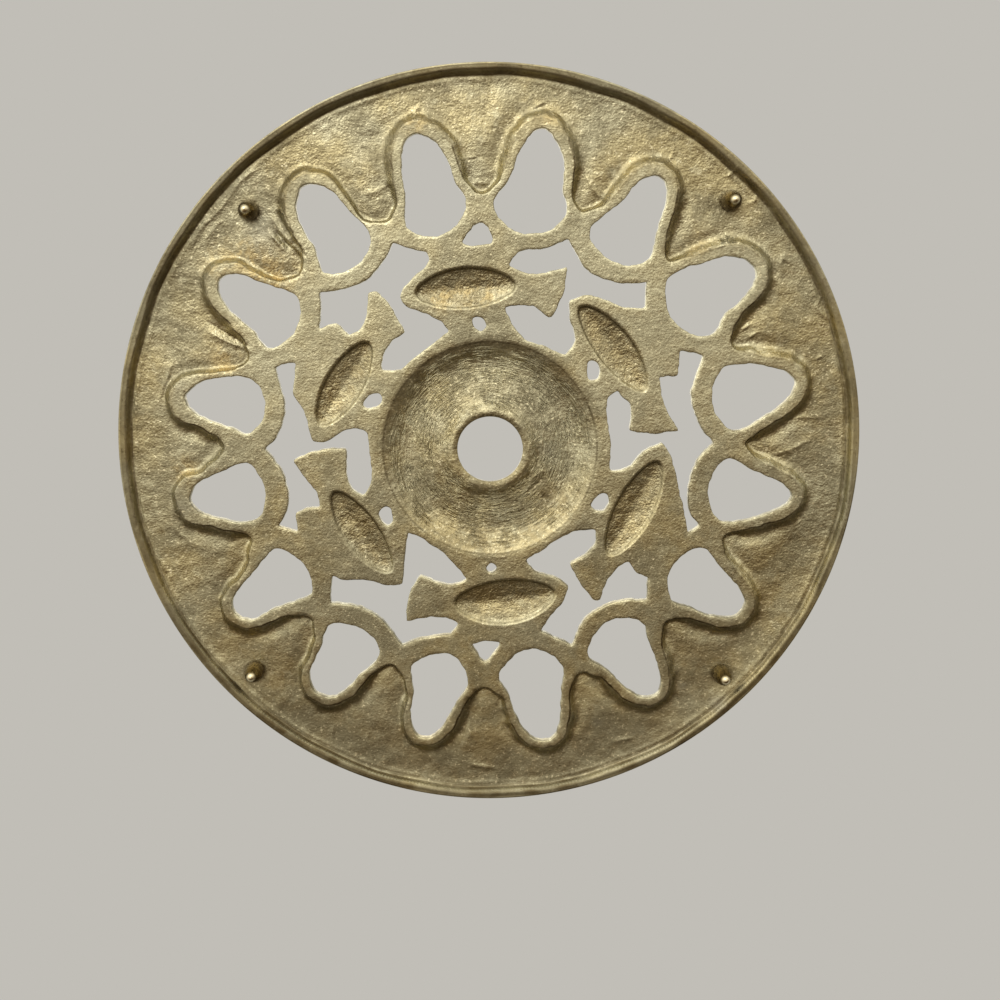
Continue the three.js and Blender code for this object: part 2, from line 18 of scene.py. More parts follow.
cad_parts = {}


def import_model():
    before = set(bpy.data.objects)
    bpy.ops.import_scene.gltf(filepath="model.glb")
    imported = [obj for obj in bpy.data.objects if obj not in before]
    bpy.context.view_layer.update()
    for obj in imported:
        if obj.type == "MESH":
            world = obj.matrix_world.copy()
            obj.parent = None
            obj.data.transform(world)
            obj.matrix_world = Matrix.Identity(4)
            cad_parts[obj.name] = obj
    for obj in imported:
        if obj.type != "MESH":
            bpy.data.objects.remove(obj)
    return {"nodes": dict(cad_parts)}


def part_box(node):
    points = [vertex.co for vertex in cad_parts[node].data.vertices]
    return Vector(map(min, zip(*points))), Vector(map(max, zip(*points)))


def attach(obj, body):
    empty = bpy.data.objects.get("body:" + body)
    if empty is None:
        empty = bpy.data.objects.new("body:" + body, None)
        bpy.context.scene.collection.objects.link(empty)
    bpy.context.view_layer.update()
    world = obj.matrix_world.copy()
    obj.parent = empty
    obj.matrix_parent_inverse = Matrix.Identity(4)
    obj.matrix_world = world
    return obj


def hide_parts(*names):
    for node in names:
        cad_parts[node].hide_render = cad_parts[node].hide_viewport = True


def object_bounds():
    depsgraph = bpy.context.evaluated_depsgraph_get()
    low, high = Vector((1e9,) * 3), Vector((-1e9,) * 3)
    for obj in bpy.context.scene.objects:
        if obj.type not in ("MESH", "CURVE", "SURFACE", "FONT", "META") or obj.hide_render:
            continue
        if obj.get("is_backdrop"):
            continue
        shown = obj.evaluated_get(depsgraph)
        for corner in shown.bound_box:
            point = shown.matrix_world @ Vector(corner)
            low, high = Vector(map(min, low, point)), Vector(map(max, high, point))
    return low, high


LOG = logging.getLogger("trivet")
MM = 0.001
FEET = ("foot_upper_left", "foot_upper_right", "foot_lower_left", "foot_lower_right")
Array = np.ndarray
Profile = Callable[[Array], Array]
Knots = tuple[tuple[float, float], ...]
Triple = tuple[float, float, float]
Socket = bpy.types.NodeSocket
TILE = 5.0
TILE_ROW = 100000
TINY = 1e-12
LEVEL_SLACK = 0.01
UPRIGHT_SLOPE = 0.05


def closed_lengths(points: Array) -> Array:
    """Length of each edge of a closed line.

    Args:
        points: The line's points, one row each.

    Returns:
        The distance from each point to the next, the last one back to the first.
    """
    return np.linalg.norm(np.roll(points, -1, 0) - points, axis=1)


def resampled(points: Array, step: float) -> Array:
    """Even points along a closed line: the line as a function of arc length, read at equal steps.

    Args:
        points: The line's points.
        step: The wanted spacing.

    Returns:
        The new points, about a step apart.
    """
    reach = np.concatenate([[0.0], np.cumsum(closed_lengths(points))])
    ring = np.vstack([points, points[:1]])
    count = max(int(round(reach[-1] / step)), 8)
    places = np.linspace(0.0, reach[-1], count, endpoint=False)
    return np.stack([np.interp(places, reach, ring[:, axis]) for axis in (0, 1)], axis=1)


def softened(points: Array, step: float, reach: float) -> Array:
    """A closed line blurred along itself: each wave of it fades as exp(-(frequency * reach)^2 / 2).

    Args:
        points: Even points of the line.
        step: Their spacing.
        reach: How far along the line the blur reaches.

    Returns:
        The same number of points, with the corners rounded.
    """
    waves = 2.0 * np.pi * np.fft.rfftfreq(len(points), step)
    fade = np.exp(-0.5 * (waves * reach) ** 2)[:, None]
    return np.fft.irfft(np.fft.rfft(points, axis=0) * fade, n=len(points), axis=0)


def refitted(points: Array, corner: float, pieces: int = 10) -> Array:
    """A smooth line through a polygon: cubic Hermite arcs whose ends lean on both neighbours.

    Args:
        points: The polygon's corners.
        corner: Turn in degrees from which a corner stays sharp.
        pieces: Points on each arc.

    Returns:
        Points along the arcs.
    """
    ahead = np.roll(points, -1, 0) - points
    length = np.linalg.norm(ahead, axis=1)[:, None]
    along = ahead / length
    before = np.roll(along, 1, 0)
    before_length = np.roll(length, 1, 0)
    lean = (before * length + along * before_length) / (length + before_length)
    lean /= np.linalg.norm(lean, axis=1)[:, None]
    turn = np.degrees(np.arccos(np.clip((along * before).sum(1), -1.0, 1.0)))[:, None]
    leaving = np.where(turn > corner, along, lean)
    arriving = np.roll(np.where(turn > corner, before, lean), -1, 0)
    t = (np.arange(pieces) / pieces)[None, :, None]
    start, end = points[:, None], np.roll(points, -1, 0)[:, None]
    first, last = (leaving * length)[:, None], (arriving * length)[:, None]
    arcs = (
        (2 * t**3 - 3 * t**2 + 1) * start
        + (t**3 - 2 * t**2 + t) * first
        + (3 * t**2 - 2 * t**3) * end
        + (t**3 - t**2) * last
    )
    return arcs.reshape(-1, 2)


def without_crowding(points: Array, least: float) -> Array:
    """The polygon without points that lie closer to the one before than the least distance."""
    keep = np.roll(closed_lengths(points), 1) > least
    return points[keep]


def side_normals(points: Array) -> Array:
    """Unit normals of a closed line, to the right of its travel: outwards if it runs anticlockwise.

    Args:
        points: The line's points.

    Returns:
        One normal for each point.
    """
    along = np.roll(points, -1, 0) - np.roll(points, 1, 0)
    along /= np.linalg.norm(along, axis=1)[:, None]
    return np.stack([along[:, 1], -along[:, 0]], axis=1)


def signed_area(points: Array) -> float:
    """Area inside a closed line, positive where it runs anticlockwise."""
    ahead = np.roll(points, -1, 0)
    return float(0.5 * (points[:, 0] * ahead[:, 1] - ahead[:, 0] * points[:, 1]).sum())


def eased(share: Array) -> Array:
    """A smooth step from 0 to 1: 3 s^2 - 2 s^3 of the share s, held at its ends."""
    s = np.clip(share, 0.0, 1.0)
    return s * s * (3.0 - 2.0 * s)


def hump(gap: Array, width: float) -> Array:
    """A Gaussian: exp(-(gap / width)^2)."""
    return np.exp(-((gap / width) ** 2))


def rounded_profile(knots: Knots, reach: float) -> Profile:
    """A turned profile with soft corners: straight runs between knots, blurred over a short reach.

    Args:
        knots: Radius and height of each knot, the radii rising.
        reach: Reach of the blur.

    Returns:
        A function of the radius that gives the height.
    """
    radii, levels = np.array(knots).T
    step, margin = 0.05, 4.0 * reach
    fine = np.arange(radii[0] - margin, radii[-1] + margin, step)
    offsets = np.arange(-margin, margin + step, step)
    weight = np.exp(-0.5 * (offsets / reach) ** 2)
    weight /= weight.sum()
    samples = np.interp(fine[:, None] + offsets[None, :], radii, levels) @ weight
    return lambda radius: np.interp(radius, fine, samples)


class CastGrain:
    """Smooth random height over the plan: white noise on a grid, blurred to waves of one length."""

    SHORTEST = 0.7
    LONGEST = 0.15

    def __init__(self, wavelength: float, seed: int, span: float = 220.0, cells: int = 512) -> None:
        """Works the grid out once.

        Args:
            wavelength: Length of the waves that are kept.
            seed: Seed of the noise.
            span: Side of the square that the grid covers.
            cells: Grid cells along a side.
        """
        noise = np.random.default_rng(seed).normal(size=(cells, cells))
        rows = np.fft.fftfreq(cells, span / cells)[:, None]
        columns = np.fft.rfftfreq(cells, span / cells)[None, :]
        wave = np.hypot(rows, columns) * wavelength
        longer = np.exp(-0.5 * (wave / self.SHORTEST) ** 2)
        shorter = 1.0 - np.exp(-0.5 * (wave / self.LONGEST) ** 2)
        grid = np.fft.irfft2(np.fft.rfft2(noise) * (longer * shorter), s=(cells, cells))
        self.grid = grid / grid.std()
        self.span, self.cells = span, cells

    def at(self, places: Array) -> Array:
        """The grid read between its cells, with a spread of about one.

        Args:
            places: Plan points.

        Returns:
            One value for each point.
        """
        spot = (places / self.span + 0.5) * self.cells
        low = np.floor(spot).astype(int)
        share = eased(spot - low)
        column, row = low[:, 0] % self.cells, low[:, 1] % self.cells
        next_column, next_row = (column + 1) % self.cells, (row + 1) % self.cells
        grid, (across, down) = self.grid, share.T
        near = grid[row, column] * (1 - across) + grid[row, next_column] * across
        far = grid[next_row, column] * (1 - across) + grid[next_row, next_column] * across
        return near * (1 - down) + far * down


def tiles(points: Array) -> list[Array]:
    """The numbers of the points that lie in each square tile of the plan.

    Args:
        points: Plan points.

    Returns:
        One set of numbers for each tile that holds any.
    """
    cell = np.floor(points / TILE).astype(np.int64)
    code = cell[:, 0] * TILE_ROW + cell[:, 1]
    order = np.argsort(code, kind="stable")
    return np.split(order, np.flatnonzero(np.diff(code[order])) + 1)


class OutlineField:
    """Signed distance to a set of closed lines: positive on the right of their travel."""

    def __init__(self, lines: Sequence[Array], reach: float) -> None:
        """Lists the edges of all the lines with their normals.

        Args:
            lines: Closed lines with short edges.
            reach: Distance beyond which the value is held.
        """
        self.reach = reach
        self.start = np.vstack(lines)
        self.end = np.vstack([np.roll(line, -1, 0) for line in lines])
        edge = self.end - self.start
        self.length = np.maximum(np.linalg.norm(edge, axis=1), 1e-9)
        self.normal = np.stack([edge[:, 1], -edge[:, 0]], axis=1) / self.length[:, None]
        ahead, offset = [], 0
        for line in lines:
            ahead.append(offset + np.roll(np.arange(len(line)), -1))
            offset += len(line)
        self.ahead = np.concatenate(ahead)
        before = np.empty_like(self.ahead)
        before[self.ahead] = np.arange(len(self.ahead))
        self.corner = self.normal + self.normal[before]

    def _outside(self, places: Array) -> Array:
        """Whether each point is outside all the lines, by counting the edges that a ray crosses.

        Args:
            places: Plan points.

        Returns:
            True for the points outside.
        """
        x, y = places[:, :1], places[:, 1:]
        spans = (self.start[None, :, 1] > y) != (self.end[None, :, 1] > y)
        run, rise = (self.end - self.start).T
        rise = np.where(np.abs(rise) < TINY, TINY, rise)
        cross = self.start[None, :, 0] + (y - self.start[None, :, 1]) * (run / rise)
        return ((spans & (x < cross)).sum(1) % 2) == 0

    def at(self, places: Array) -> Array:
        """The distance from each point to the nearest edge, tile by tile over the plan.

        Args:
            places: Plan points.

        Returns:
            The signed distances, held at the reach.
        """
        result = np.full(len(places), self.reach)
        far = []
        for group in tiles(places):
            here = places[group]
            low, high = here.min(0) - self.reach, here.max(0) + self.reach
            near = np.flatnonzero(((self.start > low) & (self.start < high)).all(1))
            if len(near) == 0:
                far.append(group)
                continue
            result[group] = self._near(here, near)
        if far:
            outside = self._outside(np.array([places[group[0]] for group in far]))
            for group, free in zip(far, outside):
                result[group] = self.reach if free else -self.reach
        return result

    def _near(self, here: Array, near: Array) -> Array:
        """Signed distance to the nearest of some edges, held at the reach.

        Args:
            here: Points of one tile.
            near: Numbers of the edges around it.

        Returns:
            One distance for each point.
        """
        start, edge = self.start[near], self.end[near] - self.start[near]
        gap = here[:, None] - start[None]
        share = np.clip((gap * edge).sum(2) / (self.length[near] ** 2), 0.0, 1.0)
        gap = gap - share[..., None] * edge
        square = (gap**2).sum(2)
        best = square.argmin(1)
        rows = np.arange(len(here))
        share, gap, square = share[rows, best], gap[rows, best], square[rows, best]
        number = near[best]
        normal = np.where(
            (share <= 0.0)[:, None],
            self.corner[number],
            np.where((share >= 1.0)[:, None], self.corner[self.ahead[number]], self.normal[number]),
        )
        sign = np.where((gap * normal).sum(1) >= 0.0, 1.0, -1.0)
        return np.clip(sign * np.sqrt(square), -self.reach, self.reach)


def polar(bearing: Array | float, radius: Array | float) -> Array:
    """Plan points from bearings in degrees, from +X towards +Y, and radii."""
    turn = np.radians(bearing)
    return np.stack([radius * np.cos(turn), radius * np.sin(turn)], axis=-1)


@dataclass(frozen=True)
class Scar:
    """A ridge or, with a negative height, a groove that the mould left along a short line.

    The line's knots are bearings in degrees and radii in millimetres.
    """

    knots: Knots
    height: float
    width: float

    def line(self, step: float = 0.2) -> Array:
        """Points along the line: the knots as a function of length, blurred a little.

        Args:
            step: Spacing of the points.

        Returns:
            Plan points.
        """
        knots = np.array([polar(bearing, radius) for bearing, radius in self.knots])
        reach = np.concatenate([[0.0], np.cumsum(np.linalg.norm(np.diff(knots, axis=0), axis=1))])
        count = max(int(reach[-1] / step), 4)
        places = np.linspace(0.0, reach[-1], count)
        line = np.stack([np.interp(places, reach, knots[:, axis]) for axis in (0, 1)], axis=1)
        for _ in range(12):
            line[1:-1] = 0.25 * line[:-2] + 0.5 * line[1:-1] + 0.25 * line[2:]
        return line

    def rows(self) -> Array:
        """Points along the line and on both its flanks, for the mesh.

        Returns:
            Plan points.
        """
        line = self.line(0.45)
        along = np.gradient(line, axis=0)
        across = np.stack([along[:, 1], -along[:, 0]], axis=1) / np.linalg.norm(along, axis=1)[:, None]
        return np.vstack([line + across * self.width * share for share in (-1.7, -0.8, 0.0, 0.8, 1.7)])

    def at(self, places: Array) -> Array:
        """Height of the scar: a Gaussian of the distance to the line, fading at the line's ends.

        Args:
            places: Plan points.

        Returns:
            The heights.
        """
        line, margin = self.line(), 3.0 * self.width
        result = np.zeros(len(places))
        inside = ((places > line.min(0) - margin) & (places < line.max(0) + margin)).all(1)
        if inside.any():
            square = ((places[inside][:, None] - line[None]) ** 2).sum(2)
            near = square.argmin(1)
            fade = np.sqrt(np.sin(np.pi * np.clip(near / (len(line) - 1), 0.04, 0.96)))
            result[inside] = self.height * fade * np.exp(-square.min(1) / self.width**2)
        return result


class Tint(Enum):
    """What discolours a patch of the casting, and where light and shade are painted on it, by the name of
    the mesh value that carries it.
    """

    # dirt, and painted shade in the creases, round the feet and on the openings' walls
    GRIME_AND_SHADE = "grime_and_shade"
    GILT = "gilt"
    ASH = "ash"
    # worn pale metal, and painted light on the lattice and in the hub's dish
    RUBBED_AND_LIT = "rubbed_and_lit"


class Measure(Enum):
    """A distance that the plate's mesh carries for its finish."""

    EDGE = "edge"
    DENT = "dent"
    RIM = "rim"


@dataclass(frozen=True)
class Stain:
    """A soft round patch of a tint, at a bearing in degrees and a radius."""

    bearing: float
    radius: float
    size: float
    strength: float

    def at(self, places: Array) -> Array:
        """Strength at each place: a Gaussian of the distance."""
        gap = places - polar(self.bearing, self.radius)
        return self.strength * np.exp(-(gap**2).sum(1) / self.size**2)


@dataclass
class PlanOutlines:
    """The plate's outlines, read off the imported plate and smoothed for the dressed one.

    A loop is where the flat back of the lattice, or its flat front, ends.
    """

    back_level: float = 4.5
    front_level: float = 6.9
    plate_area: float = 20000.0
    flange_area: float = 10000.0
    hub_middle: float = 5.0
    petal_middle: float = 60.0
    petal_end: float = 62.0
    step: float = 0.3
    corner: float = 36.0
    least_swell: float = 150.0
    tongue_bearing: float = 0.0
    tongue_reach: tuple[float, ...] = (
        -0.6, 0.0, -0.1, 0.6, 1.3, 2.2, 0.0, -1.3, -2.8, -0.2, 0.0, 2.5, 1.4, 1.4, 0.0, -1.4
    )
    low_border: float = 0.8
    flank_shift: float = 0.45
    full_flank: float = 1.0
    left_border: float = 1.2
    openings: list[Array] = field(default_factory=list)
    petals: list[Array] = field(default_factory=list)
    hollows: list[Array] = field(default_factory=list)
    swells: list[Array] = field(default_factory=list)
    flange_back: Array | None = None
    flange_front: Array | None = None

    @property
    def pitch(self) -> float:
        """Bearing in degrees from one tongue to the next."""
        return 360.0 / len(self.tongue_reach)

    def read(self, node: bpy.types.Object) -> None:
        """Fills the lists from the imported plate.

        Args:
            node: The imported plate, which is only read.
        """
        corners, faces = merged_node(node)
        for loop, upright in flat_loops(corners, faces, self.back_level):
            self._place(loop, upright, back=True)
        for loop, upright in flat_loops(corners, faces, self.front_level):
            self._place(loop, upright, back=False)
        LOG.info(
            "outlines: %d petals, %d openings, %d hollows, %d swells",
            len(self.petals), len(self.openings), len(self.hollows), len(self.swells),
        )

    def _place(self, loop: Array, upright: bool, back: bool) -> None:
        """Sorts one loop into its list by its size, its place and the wall beside it.

        Args:
            loop: The loop's points.
            upright: Whether its wall is upright.
            back: Whether it lies on the back.
        """
        if signed_area(loop) < 0.0:
            loop = loop[::-1]
        area, radius = signed_area(loop), np.hypot(*loop.mean(0))
        span = np.hypot(*loop.T)
        if area > self.plate_area:
            return
        if area > self.flange_area:
            line = self._smooth(loop, 1.1)
            if back:
                self.flange_back = self._stretched(line)
            else:
                self.flange_front = line
        elif radius < self.hub_middle:
            return
        elif upright and back:
            line = self._smooth(loop, 0.7 if span.max() > self.petal_end else 0.3)
            self.openings.append(line)
            if radius > self.petal_middle:
                self.petals.append(line)
        elif not upright and (back or area > self.least_swell):
            (self.hollows if back else self.swells).append(self._smooth(loop, 0.5))

    def _stretched(self, line: Array) -> Array:
        """The flange's edge with each tongue's end drawn in or out, and thin borders on the low side.

        A tongue's end moves along its radius by its own reach, times a smooth step of the radius. At
        the petals' outer ends the edge moves towards the petals by a share of the bearing's sine.

        Args:
            line: The edge as packed.

        Returns:
            The edge as dressed.
        """
        radius, bearing = np.hypot(*line.T), np.degrees(np.arctan2(line[:, 1], line[:, 0]))
        turn = ((bearing - self.tongue_bearing) / self.pitch) % len(self.tongue_reach)
        near = np.round(turn).astype(int) % len(self.tongue_reach)
        drawn = np.array(self.tongue_reach)[near] * eased((76.0 - radius) / 10.0)
        end = eased((radius - 74.0) / 6.0)
        thin = self.low_border * np.clip(np.sin(np.radians(bearing)), 0.0, 1.0) * end
        thin -= self.left_border * hump(bearing % 360.0 - 180.0, 15.0) * end
        thin += self.flank_shift * eased((radius - 66.0) / 3.0) * (1.0 - end)
        steep = self.first_flank(bearing) * eased((radius - 64.5) / 3.5) * eased((80.0 - radius) / 6.0)
        thin += self.full_flank * steep
        moved = line * (1.0 - drawn / radius)[:, None] - side_normals(line) * thin[:, None]
        return resampled(softened(resampled(moved, 0.1), 0.1, 0.5), self.step)

    def first_flank(self, bearing: Array) -> Array:
        """The first flank of the left tongues, which is full and steep: a sine of the bearing, faded.

        Args:
            bearing: Bearings in degrees.

        Returns:
            1 on the flank, 0 away from it.
        """
        side = np.clip(-np.sin(2.0 * np.pi * (bearing - self.tongue_bearing) / self.pitch), 0.0, 1.0)
        return side * eased((np.cos(np.radians(bearing - 170.0)) + 0.1) / 0.4)

    def _smooth(self, loop: Array, reach: float) -> Array:
        """An even, softened line through one loop."""
        line = refitted(without_crowding(loop, 0.35), self.corner)
        return resampled(softened(resampled(line, 0.1), 0.1, reach), self.step)


def merged_node(node: bpy.types.Object) -> tuple[Array, Array]:
    """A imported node's corners in millimetres, with doubles merged, and its triangles.

    Args:
        node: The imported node, which is only read.

    Returns:
        The corners, and three corner numbers for each triangle.
    """
    mesh = node.data
    corners = np.empty(len(mesh.vertices) * 3)
    mesh.vertices.foreach_get("co", corners)
    mesh.calc_loop_triangles()
    faces = np.empty(len(mesh.loop_triangles) * 3, np.int32)
    mesh.loop_triangles.foreach_get("vertices", faces)
    corners = np.round(corners.reshape(-1, 3) / MM, 3)
    merged, number = np.unique(corners, axis=0, return_inverse=True)
    return merged, number.reshape(-1)[faces.reshape(-1, 3)]


def flat_loops(corners: Array, faces: Array, level: float) -> list[tuple[Array, bool]]:
    """The closed lines round the flat faces at one height, each with the slope of the wall there.

    Args:
        corners: The node's corners.
        faces: Its triangles.
        level: The height.

    Returns:
        Each line's plan points, and whether its wall is upright.
    """
    flat = (np.abs(corners[faces][:, :, 2] - level) < LEVEL_SLACK).all(1)
    total = len(corners)
    edges = edges_of(faces[flat])
    code, back = edge_codes(edges, total)
    border = edges[~np.isin(code, back)]
    first_side, last_side = (corners[faces[:, number]] - corners[faces[:, 0]] for number in (1, 2))
    across = np.cross(first_side, last_side)
    slope = np.abs(across[:, 2]) / np.maximum(np.linalg.norm(across, axis=1), TINY)
    _, wall_code = edge_codes(edges_of(faces[~flat]), total)
    wall_slope = dict(zip(wall_code.tolist(), np.tile(slope[~flat], 3).tolist()))
    following = dict(zip(border[:, 0].tolist(), border[:, 1].tolist()))
    loops = []
    while following:
        first = next(iter(following))
        chain, place = [first], following.pop(first)
        while place != first:
            chain.append(place)
            place = following.pop(place)
        ahead = chain[1:] + chain[:1]
        slopes = [wall_slope.get(a * total + b, 1.0) for a, b in zip(chain, ahead)]
        loops.append((corners[chain][:, :2], float(np.median(slopes)) < UPRIGHT_SLOPE))
    return loops


def edges_of(faces: Array) -> Array:
    """The three directed edges of each triangle, first edges of all, then second, then third."""
    return np.concatenate([faces[:, [0, 1]], faces[:, [1, 2]], faces[:, [2, 0]]])
def edge_codes(edges: Array, total: int) -> tuple[Array, Array]:
    """One number for each directed edge, and the number of the same edge run backwards.

    Args:
        edges: Two corner numbers for each edge.
        total: Number of corners.

    Returns:
        The two sets of numbers.
    """
    start, end = edges.astype(np.int64).T
    return start * total + end, end * total + start


@dataclass
class PlateRelief:
    """Heights of the plate's two faces over the plan, and how far each place is from each edge.

    Back: the lattice lies at one level. Behind the flange a trough rises from its wavy edge by the
    flange's rise, times a smooth step of the distance from the edge, times one towards the rim.
    Front: the same with the flange's front edge, up to the flange's top.
    """

    outlines: PlanOutlines
    lattice_back: float = 4.5
    lattice_front: float = 6.9
    flange_rise: float = 2.5
    flange_front: float = 10.0
    wall_width: float = 1.1
    flank_width: float = 2.9
    steep_share: float = 0.45
    front_slope: float = 1.5
    edge_wander: float = 0.12
    edge_crumb: float = 0.04
    rim_wander: float = 0.14
    cove_rise: float = 0.9
    hollow_depth: float = 2.5
    hollow_wall: float = 1.1
    swell_rise: float = 2.2
    hub_reach: float = 30.0
    rim_beads: tuple[float, float] = (91.4, 93.2)
    bead_height: float = 0.2
    bead_width: float = 0.38
    reach: float = 6.0
    most_proud: float = 0.2
    back_grain: Triple = (0.07, 0.035, 0.015)
    front_grain: tuple[float, float] = (0.04, 0.02)
    hub_back_knots: Knots = (
        (8.0, 5.2), (8.8, 4.85), (9.6, 4.5), (10.2, 4.6), (12.4, 6.3),
        (20.8, 8.0), (23.0, 7.45), (27.5, 4.55), (30.0, 4.5),
    )
    hub_front_knots: Knots = (
        (8.0, 6.5), (9.0, 6.5), (12.0, 8.9), (20.2, 9.9), (21.8, 9.9), (25.3, 9.3), (28.8, 6.9), (31.0, 6.9),
    )
    rim_knots: Knots = ((88.0, 1.0), (91.5, 1.0), (92.5, 0.9), (93.35, 0.1), (95.0, 0.04))
    scars: tuple[Scar, ...] = (
        Scar(((226.9, 79.5), (226.2, 74.0), (226.1, 66.5)), 0.7, 0.42),
        Scar(((228.0, 79.0), (227.2, 73.0), (226.6, 66.4)), -0.55, 0.35),
        Scar(((228.9, 79.2), (227.9, 72.4), (226.9, 66.0)), 0.6, 0.4),
        Scar(((225.6, 78.0), (225.3, 71.0)), -0.5, 0.32),
        Scar(((224.6, 77.0), (224.3, 71.0)), 0.5, 0.38),
        Scar(((202.7, 77.5), (202.3, 71.0), (202.6, 65.5)), 0.45, 0.42),
        Scar(((204.3, 78.5), (203.6, 71.5), (203.4, 66.5)), -0.35, 0.32),
        Scar(((213.0, 90.4), (218.0, 90.9), (222.0, 90.1), (227.0, 91.0), (232.0, 90.6)), 0.25, 0.4),
        Scar(((215.0, 88.9), (221.0, 88.2)), 0.2, 0.35),
        Scar(((189.0, 85.4), (192.5, 84.3), (195.8, 83.7)), 0.3, 0.45),
        Scar(((190.0, 83.2), (193.5, 82.5)), 0.25, 0.4),
        Scar(((163.4, 82.6), (164.6, 84.2), (166.4, 84.8)), 0.25, 0.4),
        Scar(((164.0, 87.8), (169.5, 88.6)), 0.15, 0.35),
        Scar(((175.0, 88.3), (181.5, 88.7)), 0.15, 0.3),
        Scar(((157.0, 90.3), (161.0, 90.9)), 0.2, 0.4),
        Scar(((311.0, 90.2), (311.3, 93.0)), 0.25, 0.35),
        Scar(((301.6, 84.2), (301.9, 86.0), (301.4, 87.6)), 0.25, 0.35),
        Scar(((316.3, 89.2), (316.9, 90.6), (316.4, 92.2)), 0.25, 0.35),
        Scar(((328.0, 89.2), (326.8, 88.2), (327.4, 87.0), (329.3, 86.4)), 0.35, 0.4),
        Scar(((335.4, 92.2), (336.4, 90.4), (337.6, 90.8), (339.2, 92.4)), 0.25, 0.35),
        Scar(((344.4, 88.4), (344.7, 86.4)), 0.3, 0.35),
        Scar(((334.2, 73.9), (334.9, 70.4)), 0.3, 0.35),
        Scar(((336.4, 74.6), (336.9, 70.9)), 0.25, 0.35),
        Scar(((354.5, 86.3), (354.3, 78.2)), 0.18, 0.5),
        Scar(((358.0, 83.8), (360.0, 79.0), (361.2, 74.5), (361.5, 72.0)), 0.22, 0.45),
        Scar(((15.0, 76.8), (18.0, 71.0), (20.6, 67.8)), 0.2, 0.45),
        Scar(((256.6, 84.4), (258.2, 86.4)), 0.35, 0.4),
        Scar(((258.4, 86.2), (260.6, 82.4)), 0.3, 0.4),
        Scar(((277.3, 85.0), (278.9, 87.0)), 0.35, 0.4),
        Scar(((279.2, 86.7), (281.6, 83.6)), 0.3, 0.4),
        Scar(((165.8, 14.6), (140.0, 15.2), (121.5, 18.8)), 0.3, 0.3),
        Scar(((160.0, 12.9), (128.0, 14.6)), -0.25, 0.3),
        Scar(((38.5, 13.2), (23.0, 14.6)), 0.3, 0.3),
        Scar(((52.0, 14.9), (30.0, 15.9)), -0.25, 0.3),
        Scar(((283.0, 24.6), (292.0, 24.3), (301.0, 23.5)), 0.3, 0.3),
        Scar(((333.0, 27.3), (343.0, 27.2), (353.0, 26.6)), -0.35, 0.3),
        Scar(((60.0, 17.5), (85.0, 18.2)), 0.2, 0.3),
        Scar(((289.0, 72.9), (291.0, 70.4), (293.2, 68.8), (294.8, 69.2)), 0.35, 0.4),
        Scar(((309.6, 70.8), (310.9, 68.0), (312.6, 67.0)), 0.35, 0.45),
        Scar(((317.0, 77.2), (317.9, 77.9), (318.6, 77.3), (317.8, 76.6)), 0.4, 0.5),
        Scar(((243.5, 70.9), (246.6, 70.2), (249.0, 70.9)), 0.18, 0.4),
        Scar(((264.0, 72.6), (267.5, 73.0)), 0.18, 0.35),
        Scar(((266.0, 66.6), (270.5, 66.4)), 0.15, 0.3),
        Scar(((89.0, 87.4), (91.5, 86.7), (94.0, 86.2)), 0.25, 0.5),
        Scar(((64.0, 87.6), (67.5, 86.4)), 0.2, 0.5),
        Scar(((94.0, 71.5), (94.4, 76.0), (94.2, 79.5)), 0.25, 0.45),
        Scar(((36.9, 91.2), (40.3, 93.0)), 0.15, 0.4),
        Scar(((128.5, 90.2), (130.0, 88.4)), 0.2, 0.4),
        Scar(((118.5, 88.9), (119.3, 86.4)), 0.25, 0.4),
    )

    def __post_init__(self) -> None:
        """Makes the distance fields and the turned profiles."""
        lines = self.outlines
        self.to_opening = OutlineField(lines.openings, 4.0)
        self.to_flange = OutlineField([lines.flange_back], self.reach)
        self.to_front_flange = OutlineField([lines.flange_front], self.reach)
        self.to_hollow = OutlineField(lines.hollows, self.reach)
        self.to_swell = OutlineField(lines.swells, self.reach)
        self.hub_back = rounded_profile(self.hub_back_knots, reach=0.42)
        self.hub_front = rounded_profile(self.hub_front_knots, reach=0.45)
        self.rim_share = rounded_profile(self.rim_knots, reach=0.16)
        self.coarse = CastGrain(15.0, seed=3)
        self.medium = CastGrain(4.5, seed=5)
        self.fine = CastGrain(1.7, seed=7)

    def back(self, places: Array) -> Array:
        """Height of the foot side.

        Args:
            places: Plan points.

        Returns:
            The heights.
        """
        radius = np.hypot(*places.T)
        edge = self.to_flange.at(places)
        height = self.lattice_back + self.trough(places, radius, edge)
        height += self.hollow_depth * self.bowl(places)
        height = np.where(radius < self.hub_reach, self.hub_back(radius), height)
        coarse, medium, fine = self.back_grain
        rough = self.coarse.at(places) * coarse + self.medium.at(places) * medium
        rough = rough + self.fine.at(places) * fine
        calm = eased((radius - 9.8) / 2.0) * eased((92.6 - radius) / 1.5)
        sunk = 0.4 + 0.6 * eased(edge / 1.6)
        height += rough * calm * sunk
        strayed = radius + self.rim_wander * self.wander(places, radius)
        for bead in self.rim_beads:
            height -= self.bead_height * hump(strayed - bead, self.bead_width)
        for scar in self.scars:
            height -= scar.at(places)
        return np.maximum(height, self.lattice_back - self.most_proud)

    def wander(self, places: Array, radius: Array) -> Array:
        """How far the rim's lines stray, as a function of the bearing alone."""
        return self.coarse.at(places * (88.0 / np.maximum(radius, 1.0))[:, None])

    def stray(self, places: Array) -> Array:
        """How far the flange's edge strays from its even line."""
        return self.edge_wander * self.medium.at(places) + self.edge_crumb * self.fine.at(places)

